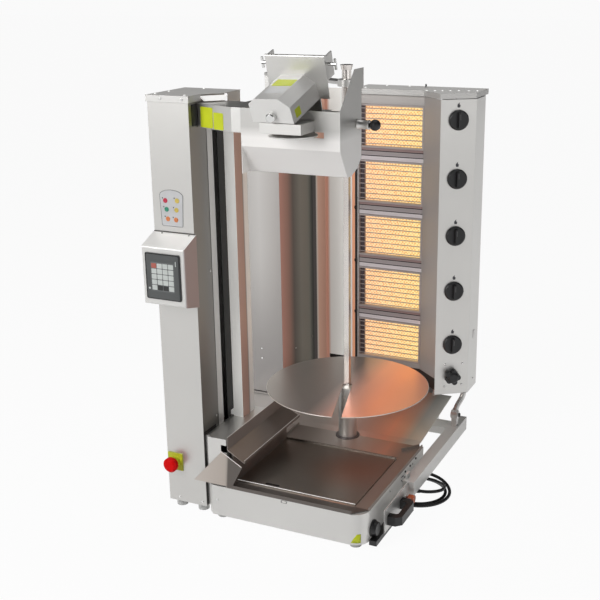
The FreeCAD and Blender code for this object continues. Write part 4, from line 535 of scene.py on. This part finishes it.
def prism(name, place, outline, depth, bevel, material):
    """A flat plate of any outline with softened edges, standing on a face from its local Z = 0."""
    mesh = bmesh.new()
    low = [mesh.verts.new((*point, 0)) for point in outline]
    high = [mesh.verts.new((*point, depth)) for point in outline]
    mesh.faces.new(list(reversed(low)))
    mesh.faces.new(high)
    for i in range(len(low)):
        j = (i + 1) % len(low)
        mesh.faces.new((low[i], low[j], high[j], high[i]))
    mesh.transform(place)
    obj = from_bmesh(name, mesh, material)
    modifier = obj.modifiers.new("edges", "BEVEL")
    modifier.width = bevel
    modifier.segments = 2
    modifier.limit_method = "ANGLE"
    return obj


def outlined(name, node, place, points, depth, material):
    """A flat plate on a node's face with any outline, in millimetres."""
    outline = [(x / 1000, y / 1000) for x, y in points]
    plate = prism(name, place, outline, depth / 1000, depth * 0.0003, MATERIALS[material])
    return held(plate, node)


def patch(name, node, place, width, height, material, depth=0.6, corner=3.0):
    """A plain plate with round corners on a node's face, in millimetres."""
    width, height, depth, corner = width / 1000, height / 1000, depth / 1000, corner / 1000
    outline = []
    for i, (sx, sy) in enumerate(((1, 1), (-1, 1), (-1, -1), (1, -1))):
        centre = Vector((sx * (width / 2 - corner), sy * (height / 2 - corner)))
        for step in range(CORNER_STEPS + 1):
            angle = math.pi / 2 * (i + step / CORNER_STEPS)
            outline.append(centre + corner * Vector((math.cos(angle), math.sin(angle))))
    plate = prism(name, place, outline, depth, min(depth * 0.3, corner * 0.4), MATERIALS[material])
    return held(plate, node)


def turned(name, node, place, outline, count, material):
    """A piece on a node turned about its local Z from an outline of radius and height in millimetres."""
    mesh = bmesh.new()
    turns = [2 * math.pi * k / count for k in range(count)]
    rings = []
    for radius, height in outline:
        if radius == 0:
            rings.append([mesh.verts.new((0, 0, height / 1000))])
            continue
        reach = radius / 1000
        rings.append([mesh.verts.new((reach * math.cos(turn), reach * math.sin(turn), height / 1000))
                      for turn in turns])
    for first, second in zip(rings, rings[1:]):
        for k in range(count):
            n = (k + 1) % count
            corners = [first[k % len(first)], first[n % len(first)],
                       second[n % len(second)], second[k % len(second)]]
            unique = list(dict.fromkeys(corners))
            if len(unique) > 2:
                mesh.faces.new(unique)
    bmesh.ops.recalc_face_normals(mesh, faces=mesh.faces)
    mesh.transform(place)
    return held(from_bmesh(name, mesh, MATERIALS[material], smooth=True), node)


def tube(name, points, radius, sides, material, smooth):
    """A round tube through points in the frame's metres."""
    curve = bpy.data.curves.new(name, "CURVE")
    curve.dimensions = "3D"
    curve.bevel_depth = radius
    curve.bevel_resolution = sides
    curve.use_fill_caps = True
    spline = curve.splines.new("NURBS" if smooth else "POLY")
    spline.points.add(len(points) - 1)
    for target, point in zip(spline.points, points):
        target.co = (*point, 1)
    if smooth:
        spline.order_u = 3
        spline.use_endpoint_u = True
    obj = bpy.data.objects.new(name, curve)
    bpy.context.scene.collection.objects.link(obj)
    dress(obj, MATERIALS[material])
    return obj


def wire(name, points, radius, material, node, smooth=False):
    """A thin round wire on a node, its radius in millimetres."""
    return held(tube(name, points, radius / 1000, 3, material, smooth), node)


# Cable.

CABLE_DIAMETER = 0.009
LEAD_ROUTE = [(0.3005, -0.0638, 0.034), (0.329, -0.0638, 0.034), (0.3538, -0.0509, 0.032),
              (0.3697, -0.0278, 0.028), (0.3729, 0.0, 0.023), (0.3626, 0.0261, 0.018)]
LEAD_END = 0.019
COIL_CENTRE = (0.2988, -0.0122)
COIL_RADIUS, COIL_PITCH = 0.068, 0.012
COIL_START, COIL_TURNS = math.radians(67.2), 2.063
COIL_FLOOR, COIL_DROP, COIL_LIFT, COIL_EASE = 0.0048, 0.009, 0.0114, math.radians(70)
COIL_STEPS, COIL_PROBE = 14, 0.01


def eased(share):
    """A smooth step from 0 to 1."""
    share = min(1.0, max(0.0, share))
    return share * share * (3 - 2 * share)


def coil_point(angle, total):
    """A point of the coil, which comes down from the lead and rises again to the plug."""
    radius = COIL_RADIUS + COIL_PITCH * angle / (2 * math.pi)
    height = COIL_DROP * (1 - eased(angle / COIL_EASE)) + COIL_LIFT * eased(1 - (total - angle) / COIL_EASE)
    return Vector((COIL_CENTRE[0] + radius * math.cos(COIL_START + angle),
                   COIL_CENTRE[1] + radius * math.sin(COIL_START + angle), COIL_FLOOR + height))


def cable():
    """The power cable: out of its gland, down to the floor and round two turns of a flat coil."""
    total = 2 * math.pi * COIL_TURNS
    count = int(COIL_TURNS * COIL_STEPS)
    turns = [coil_point(total * k / count, total) for k in range(count + 1)]
    heading = (coil_point(COIL_PROBE, total) - turns[0]).normalized()
    ending = (turns[-1] - coil_point(total - COIL_PROBE, total)).normalized()
    ending.z = 0
    points = [Vector(p) for p in LEAD_ROUTE] + [turns[0] - heading * LEAD_END] + turns
    points.append(turns[-1] + ending.normalized() * CABLE_DIAMETER)
    cable_piece = tube("power_cable", points, CABLE_DIAMETER / 2, 5, "cable_jacket", True)
    cable_piece.data.splines[0].resolution_u = 8
    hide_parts("power_cable_lead", "power_cable_coil")
    held(cable_piece, "power_cable_lead")


# Stage and light.

FLOOR_REACH, FLOOR_GLOW = 30.0, 0.95
SKY_LOW, SKY_HIGH, SKY_SEEN, SKY_FADE = 0.75, 0.20, 0.955, 0.35
LAMP_TARGET = Vector((0, 0, 0.6))
LAMPS = [("key", (-1.4, -3.0, 2.2), 1.8, 76), ("fill", (2.8, -1.6, 1.6), 1.8, 12),
         ("top", (0.2, 0.2, 3.0), 1.6, 12)]


def stage():
    """A plain pale floor that keeps the shadows and looks the same towards the horizon."""
    mesh = bmesh.new()
    bmesh.ops.create_grid(mesh, x_segments=1, y_segments=1, size=FLOOR_REACH)
    look = Look("floor")
    look.set(Roughness=0.9)
    look.colour(look.mix(look.noise(3.0), (0.93, 0.93, 0.93), (0.97, 0.97, 0.97)))
    rays = look.add("ShaderNodeLightPath")
    seen = look.add("ShaderNodeMath", operation="MAXIMUM")
    look.link(rays.outputs["Is Camera Ray"], seen.inputs[0])
    look.link(rays.outputs["Is Glossy Ray"], seen.inputs[1])
    share = look.add("ShaderNodeMath", operation="MULTIPLY")
    share.inputs[1].default_value = FLOOR_GLOW
    look.link(seen.outputs[0], share.inputs[0])
    white = look.add("ShaderNodeEmission", Strength=1.0)
    blend = look.add("ShaderNodeMixShader")
    look.link(share.outputs[0], blend.inputs[0])
    look.link(look.shader.outputs[0], blend.inputs[1])
    look.link(white.outputs[0], blend.inputs[2])
    look.link(blend.outputs[0], look.tree.nodes["Material Output"].inputs["Surface"])
    floor = from_bmesh("floor", mesh, look.material)


def lamp(name, place, size, power):
    """A square soft lamp that faces the machine."""
    data = bpy.data.lights.new(name, "AREA")
    data.shape = "SQUARE"
    data.size = size
    data.energy = power
    obj = bpy.data.objects.new(name, data)
    obj.location = place
    obj.rotation_euler = (LAMP_TARGET - Vector(place)).to_track_quat("-Z", "Y").to_euler()
    bpy.context.scene.collection.objects.link(obj)


def light():
    """A soft studio: a sky that fades upwards and shows white behind the machine, and three soft lamps."""
    world = bpy.data.worlds.new("studio")
    bpy.context.scene.world = world
    world.use_nodes = True
    tree = world.node_tree
    background = tree.nodes["Background"]
    place = tree.nodes.new("ShaderNodeTexCoord")
    split = tree.nodes.new("ShaderNodeSeparateXYZ")
    fade = tree.nodes.new("ShaderNodeMapRange")
    fade.interpolation_type = "SMOOTHSTEP"
    for socket, value in (("From Max", SKY_FADE), ("To Min", SKY_LOW), ("To Max", SKY_HIGH)):
        fade.inputs[socket].default_value = value
    tree.links.new(place.outputs["Generated"], split.inputs[0])
    tree.links.new(split.outputs["Z"], fade.inputs["Value"])
    tree.links.new(fade.outputs["Result"], background.inputs["Strength"])
    white = tree.nodes.new("ShaderNodeBackground")
    white.inputs["Color"].default_value = (SKY_SEEN, SKY_SEEN, SKY_SEEN, 1)
    rays = tree.nodes.new("ShaderNodeLightPath")
    blend = tree.nodes.new("ShaderNodeMixShader")
    tree.links.new(rays.outputs["Is Camera Ray"], blend.inputs[0])
    tree.links.new(background.outputs[0], blend.inputs[1])
    tree.links.new(white.outputs[0], blend.inputs[2])
    tree.links.new(blend.outputs[0], tree.nodes["World Output"].inputs["Surface"])
    for row in LAMPS:
        lamp(*row)


# Details. Places and sizes are in the source's millimetres.

COLUMN_SIDE = 115.2
PANEL_CENTRE = (59, -63, 668.5)
KNOB_LOW, KNOB_PITCH = 340, 163
BURNER_PITCH = 161.3
EDGE_SINK = 0.001


def legend():
    """The legend plate on the column: tapered with an arched top, a thin dark border and six pads."""
    place = frame_of(at(54.5, 0, 828), RIGHT, UP)
    arch = [(34.0 * math.sin(angle), 31.0 + 15.5 * math.cos(angle))
            for angle in map(math.radians, range(80, -81, -16))]
    outline = [(-28, -45), (28, -45), (30, -42)] + arch + [(-30, -42)]
    outlined("legend_plate", "column_shell", place, outline, 0.5, "legend_grey")
    border = [moved(place, x, y, 0.6).translation for x, y in outline + outline[:1]]
    wire("legend_border", border, 0.45, "border_grey", "column_shell")
    pad = [(0, 0), (6.2, 0), (6.2, 0.4), (5.4, 0.8), (3.6, 0.8), (3.0, 0.5), (0, 0.5)]
    dot = [(0, 0), (1.6, 0), (1.4, 0.6), (0, 0.7)]
    pads = [(-17.5, 19, "red"), (16.5, 20.5, "yellow"), (-15, -3, "green"), (13.5, -3, "yellow"),
            (-12.5, -27, "orange"), (11, -28, "orange")]
    for i, (x, y, shade) in enumerate(pads):
        turned("legend_pad_%d" % i, "column_shell", moved(place, x, y, 0.5), pad, 28, "pad_" + shade)
        turned("legend_dot_%d" % i, "column_shell", moved(place, x - 8, y + 6, 0.5), dot, 16, "border_grey")


def keypad():
    """The touch panel's screen with its grid of plain keys."""
    place = frame_of(at(*PANEL_CENTRE), RIGHT, UP)
    patch("panel_bezel", "hmi_panel", place, 92, 112, "bezel_grey", 0.5, 3)
    patch("panel_screen", "hmi_panel", moved(place, 0, 0, 0.5), 68, 74, "screen_grey", 0.4,
          1.5)
    shades = {(0, 0): "key_red", (4, 1): "key_dark", (4, 2): "key_dark"}
    for row in range(5):
        for column in range(4):
            spot = moved(place, (column - 1.5) * 16.2, (2 - row) * 14.0, 0.9)
            patch("panel_key_%d_%d" % (row, column), "hmi_panel", spot, 14.4, 12.2,
                  shades.get((row, column), "key_pale"), 0.7, 1.5)


def panel_marks():
    """The small pale button and the upright mark beside the touch panel's keys."""
    place = frame_of(at(*PANEL_CENTRE), RIGHT, UP)
    button = [(0, 0), (3, 0), (3, 0.6), (2.2, 1.1), (0, 1.2)]
    turned("panel_button", "hmi_panel", moved(place, -39.5, -31, 0.5), button, 20, "key_pale")
    patch("panel_mark", "hmi_panel", moved(place, 38.5, 37, 0.5), 2.0, 13, "key_pale", 0.4,
          0.9)


def arm_patches():
    """Two blank yellow patches on the arm, and the black sealing strip beside its root."""
    along = Vector((116, -41, 0)).normalized()
    for i, (run, height, width, tall) in enumerate(((34.3, 1052.5, 45, 49), (77.3, 1047, 35, 40))):
        face = frame_of(at(117, 38, height), along, UP)
        patch("arm_patch_%d" % i, "cutter_arm", moved(face, run, 0), width, tall, "patch_yellow")
    seal = frame_of(at(115.3, 25.5, 1057), BACK, UP)
    patch("arm_seal", "cutter_arm", seal, 23, 52, "black_plastic", 1.6, 2)


def head_patches():
    """Blank patches on the cutter head, in the head's own tilted frame."""
    head = Matrix.Translation(at(381, -80, 1078)) @ Matrix.Rotation(math.radians(17), 4, "X")
    slope = Matrix.Rotation(-math.atan2(1.5, 59.5), 4, "Y")
    top = moved(head, -6.5, 93, 40.9) @ slope
    patch("head_patch_top", "cutter_housing", top, 50, 36, "patch_yellow", 0.6, 2)
    low = moved(head, -6.5, 53, 40.9) @ slope
    patch("head_patch_pale", "cutter_housing", low, 48, 38, "label_pale", 0.5, 2)
    turn = head.to_3x3()
    flank = frame_of(moved(head, 49.8, 30, 1).translation, turn @ BACK,
                     (turn @ Vector((-5, 0, 38))).normalized())
    patch("head_patch_side", "cutter_housing", flank, 26, 20, "patch_yellow", 0.6, 2)


def base_patch():
    """A blank green-yellow patch that follows the plinth's rounded corner and narrows upwards."""
    centre_x, centre_y, reach, spread = 542, 12, 38.5, 38
    mesh = bmesh.new()
    rings = []
    for height, share in ((26, 1.0), (38, 0.75), (50, 0.4)):
        turns = [math.radians(-48 + (k / 6 - 1) * spread * share) for k in range(7)]
        places = [(centre_x + reach * math.cos(turn), centre_y + reach * math.sin(turn)) for turn in turns]
        rings.append([mesh.verts.new(at(x, y, height)) for x, y in places])
    for first, second in zip(rings, rings[1:]):
        for k in range(6):
            mesh.faces.new((first[k], first[k + 1], second[k + 1], second[k]))
    obj = from_bmesh("base_patch", mesh, MATERIALS["patch_yellow"], smooth=True)
    thicken(obj, 0.5)
    held(obj, "base_shell")


def face_frame(share, z):
    """A frame on the control face: a share of its width and a height in millimetres."""
    across = Vector((84, 56, 0))
    return frame_of(at(546 + across.x * share, 597 + across.y * share, z), across.normalized(), UP)


def control_marks():
    """Plain marks over the knobs, pointers on them, and the small screws of the control face."""
    flame = [(-3.3, -6), (3.3, -6), (4.5, 0), (1.2, 3.3), (1.8, 8), (-3.9, 2.4), (-4.5, -1.8)]
    for i in range(5):
        z = KNOB_LOW + KNOB_PITCH * (4 - i)
        outlined("knob_mark_%d" % i, "control_column", face_frame(0.5, z + 40), flame, 0.4, "border_grey")
        pointer = moved(face_frame(0.5, z), 0, 10, 20.3)
        patch("knob_pointer_%d" % i, "gas_knob_%d" % (i + 1), pointer, 2.2, 16, "pointer_grey",
              0.4, 1)
    screw = [(0, 0), (3.4, 0), (3.2, 1.0), (2.0, 1.7), (0, 1.9)]
    places = [("face_screw_%d" % i, face_frame(share, z))
              for i, (share, z) in enumerate(((0.30, 279), (0.82, 280), (0.81, 213), (0.30, 209)))]
    for name, place in places + [("side_screw", frame_of(at(630, 704, 212), BACK, UP))]:
        turned(name, "control_column", place, screw, 20, "machined_steel")
    patch("side_latch", "control_column", frame_of(at(630, 698, 356), BACK, UP), 13, 24, "rail_bright",
          1.2, 2)


def edge_highlights():
    """Round wires with painted highlights for rounded bright edges: the round plate's rim, the chute, the
    tray's wing and the loose plate's ends.
    """
    centre, reach = at(354, 396, 260), 229
    slot, gap, steps = math.radians(286), math.asin(13 / reach), 120
    turns = [slot + gap + (2 * math.pi - 2 * gap) * k / steps for k in range(steps + 1)]
    rim = [centre + reach / 1000 * Vector((math.cos(turn), math.sin(turn), 0)) for turn in turns]
    wire("plate_rim", rim, 1.2, "rim_highlight", "meat_plate")
    for name, x, z in (("chute_edge_left", 190.7, 238.2), ("chute_edge_right", 239.3, 182.2)):
        wire(name, [at(x, -9, z), at(x, 317, z)], 0.8, "soft_edge_highlight", "slice_chute")
    wire("wing_edge", [at(173.5, -13.6, 199), at(235.5, -18, 167)], 1.2, "soft_edge_highlight", "drip_tray")
    low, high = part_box("tray_insert")
    z = high.z - EDGE_SINK
    for name, y in (("insert_edge_front", low.y), ("insert_edge_back", high.y)):
        wire(name, [Vector((low.x, y, z)), Vector((high.x, y, z))], 0.8, "edge_lit", "tray_insert")


def lid_flap():
    """The bent lip that hangs from the flared edge of the column's lid, pale steel with a painted highlight.
    """
    across, outward = Vector((42, 43, 0)).normalized(), Vector((43, -42, 0)).normalized()
    flap = frame_of(at(114.6, 51.6, 1099), across, outward)
    run, slant_left, slant_right, reach, drop = 72, 10, 8, 8, 12
    outline = [(0, 0, 0), (run, 0, 0), (run - slant_right, reach, drop), (slant_left, reach, drop)]
    mesh = bmesh.new()
    corners = [moved(flap, *corner).translation for corner in outline]
    mesh.faces.new([mesh.verts.new(corner) for corner in corners])
    obj = from_bmesh("lid_flap", mesh, MATERIALS["flap_highlight"])
    thicken(obj, 1.2)
    held(obj, "column_lid")


def strain_relief():
    """The tapered, ribbed boot where the cable leaves its gland."""
    outline = [(0, 0), (7.6, 0)]
    for k in range(6):
        reach, foot = 7.6 - 0.4 * k, 3.6 * k
        outline += [(reach, foot + 0.4), (reach, foot + 2.6), (reach - 0.7, foot + 3)]
    outline += [(5.2, 22.5), (0, 22.5)]
    turned("cable_boot", "cable_gland", frame_of(at(593, 284, 34), BACK, UP), outline, 28, "black_rubber")


def side_fittings():
    """The cap on the side frame, the small spring hook that holds the tray, and the studs beside it."""
    cap = [(0, 0), (6.2, 0), (6.2, 3.2), (5.2, 4.2), (0, 4.2)]
    turned("pivot_cap", "slide_frame", frame_of(at(617, 617, 125), BACK, UP), cap, 6, "black_plastic")
    hook = [at(581.2, 232, 92), at(583, 236, 96), at(584.5, 244, 92), at(584, 250, 80), at(583, 246, 72),
            at(582, 238, 76), at(581.2, 232, 84)]
    wire("tray_hook", hook, 0.9, "border_grey", "base_shell", smooth=True)
    stud = [(0, 0), (3, 0), (3, 1.6), (2, 2.4), (0, 2.6)]
    for i, (y, z) in enumerate(((262, 96), (300, 96), (345, 98))):
        turned("tray_stud_%d" % i, "base_shell", frame_of(at(580, y, z), BACK, UP), stud, 18,
               "black_plastic")


def burner_trim():
    """Folded bands between the burners in lit and shaded tones of one sheet for the faces of their folds,
    painted shade on the casings' sides, painted reflection of the glow on the edge left of them beside a
    strip of painted shade, and the hooks of their guards.
    """
    ring = [math.radians(20 + 32 * k) for k in range(11)]
    for i in range(4):
        low, high = 376 + BURNER_PITCH * i, 412.3 + BURNER_PITCH * i
        # painted light and shade: one sheet in three tones for the top, middle and low faces of each band's
        # fold
        for name, first, last, material in (("band_top", high - 8, high - 0.5, "band_brown"),
                                            ("band_mid", low + 14, high - 10, "band_mauve"),
                                            ("band_low", low + 0.5, low + 12, "band_pale")):
            place = frame_of(at(378.5, 658.9, (first + last) / 2), RIGHT, UP)
            patch("%s_%d" % (name, i), "burner_housing", place, 198, last - first, material,
                  0.8, 1)
        for name, z in (("seam_top", high - 9), ("seam_low", low + 13)):
            wire("%s_%d" % (name, i), [at(280, 658.2, z), at(477, 658.2, z)], 1.1, "gap_black",
                 "burner_housing")
        hook = [at(271 + 4 * math.cos(turn), 652.6, (low + high) / 2 + 5 * math.sin(turn)) for turn in ring]
        wire("guard_hook_%d" % i, hook, 1.2, "gap_black", "burner_housing", smooth=True)
    # painted shade on the sides of the burner casings
    for i in range(5):
        place = frame_of(at(288, 664, 313.5 + BURNER_PITCH * i), RIGHT, UP)
        patch("side_shade_%d" % i, "burner_casings", place, 14, 113, "mauve_painted_shade", 0.8, 1)
    # painted reflection of the glow on the edge left of the burners, and painted shade in the gap beside it
    for name, x, width, material in (("edge_glow_reflection", 262.7, 8.8, "glow_reflection_strip"),
                                     ("edge_gap_shade", 271.2, 7, "gap_black")):
        place = frame_of(at(x, 655, 642), RIGHT, UP)
        patch(name, "burner_housing", place, width, 804, material, 0.6, 1)


def shade_sheets():
    """Dark sheets of painted shade that close the gaps under the rear wall, behind the burner unit's legs
    and under the burners' front, the cabinet's dark seam and painted shade behind the slot in the rear wall.
    """
    reflector = Vector((68, -58, 0)).normalized()
    # dark sheets of painted shade
    for name, node, spot, across, width, height, shade in (
            ("rear_shade_sheet", "rear_wall", (173.5, 779, 137), RIGHT, 207, 26, "gap_black"),
            ("leg_shade_sheet", "burner_housing", (514, 630, 217), reflector, 84, 40, "gap_grey"),
            ("front_shade_sheet", "burner_housing", (400, 662, 220), RIGHT, 160, 32, "gap_grey")):
        patch(name, node, frame_of(at(*spot), across, UP), width, height, shade, 1.0, 1)
    wire("cabinet_seam", [at(-54, 549.2, 124.6), at(69, 549.2, 124.6)], 1.6, "gap_black", "rear_cabinet")
    # painted shade behind the slot in the rear wall
    patch("rear_slot_shade", "rear_wall", frame_of(at(152, 780.4, 187), RIGHT, UP), 60, 20, "gap_black",
          1.0, 1)


def rail_strip():
    """The bright strip of the rail seen in the column's slot side."""
    place = frame_of(at(COLUMN_SIDE, 92, 618), BACK, UP)
    patch("rail_strip", "column_shell", place, 26, 800, "rail_bright", 0.5, 1)


def plunger_barrel():
    """The round sleeve with its two collars that guides the spring plunger."""
    outline = [(4.6, 0), (12.5, 0), (12.5, 3), (10.6, 4), (10.6, 26), (11.2, 27), (11.2, 30), (4.6, 30),
               (4.6, 0)]
    turned("plunger_barrel", "hood", frame_of(at(511.2, 96, 1045), BACK, UP), outline, 32, "satin_steel")


def lid_screws():
    """Small bright screws with painted highlights on both lids and a pin on the lid of the burner unit."""
    screw = [(0, 0), (3.0, 0), (2.8, 1.0), (1.8, 1.6), (0, 1.8)]
    pin = [(0, 0), (4.2, 0), (4.2, 1.5), (2.4, 2), (2.4, 11), (1.4, 12), (0, 12)]
    column_places = [(9, 23), (12, 80), (98, 14), (60, 166)]
    burner_places = [(486, 649), (508, 656), (527, 663), (548, 670), (570, 678), (596, 687), (618, 695),
                     (330, 748), (400, 748), (292, 675)]
    for node, top, places in (("burner_lid", 1065, burner_places), ("column_lid", 1104, column_places)):
        for i, (x, y) in enumerate(places):
            turned("%s_screw_%d" % (node, i), node, Matrix.Translation(at(x, y, top)), screw, 18,
                   "screw_highlight")
    turned("lid_pin", "burner_lid", Matrix.Translation(at(462, 712, 1065)), pin, 18, "machined_steel")


def front_fittings():
    """The catch at the plinth's front edge, painted shade in the loose plate's slot and in the dark gap
    beside the column.
    """
    catch = frame_of(at(360, -26, 99), RIGHT, UP)
    patch("front_catch_seat", "base_shell", catch, 17, 7, "catch_grey", 0.8, 2)
    patch("front_catch", "base_shell", moved(catch, 1, 1, 0.8), 12, 4.5, "rail_bright",
          1.2, 1.5)
    # painted shade in the loose plate's slot
    slot = frame_of(at(300, 28, 109.6), RIGHT, BACK)
    patch("finger_slot_shade", "tray_insert", slot, 40, 9, "gap_black", 0.4, 4)
    # painted shade in the dark gap beside the column
    gap = frame_of(at(COLUMN_SIDE, 33, 129), BACK, UP)
    patch("column_gap_shade", "column_shell", gap, 62, 212, "gap_black", 0.5, 1)


def panel_seam():
    """The dark joint with two screws where the control box meets the column."""
    wire("panel_seam", [at(0, -1.4, 767.6), at(119, -1.4, 767.6)], 1.4, "gap_grey", "hmi_housing")
    slope = Matrix.Rotation(math.atan2(23, 55), 4, "X")
    screw = [(0, 0), (2.8, 0), (2.6, 1.0), (1.6, 1.5), (0, 1.7)]
    for i, x in enumerate((26, 104)):
        turned("panel_screw_%d" % i, "hmi_housing", Matrix.Translation(at(x, -7, 764.6)) @ slope, screw, 18,
               "machined_steel")


DETAILS = (legend, keypad, panel_marks, arm_patches, head_patches, base_patch, control_marks, edge_highlights,
           lid_flap, strain_relief, side_fittings, burner_trim, shade_sheets, rail_strip, plunger_barrel,
           lid_screws, front_fittings, panel_seam)

camera()
dress_nodes()
cable()
stage()
light()
for detail in DETAILS:
    detail()

bpy.context.scene.view_settings.view_transform = "Standard"
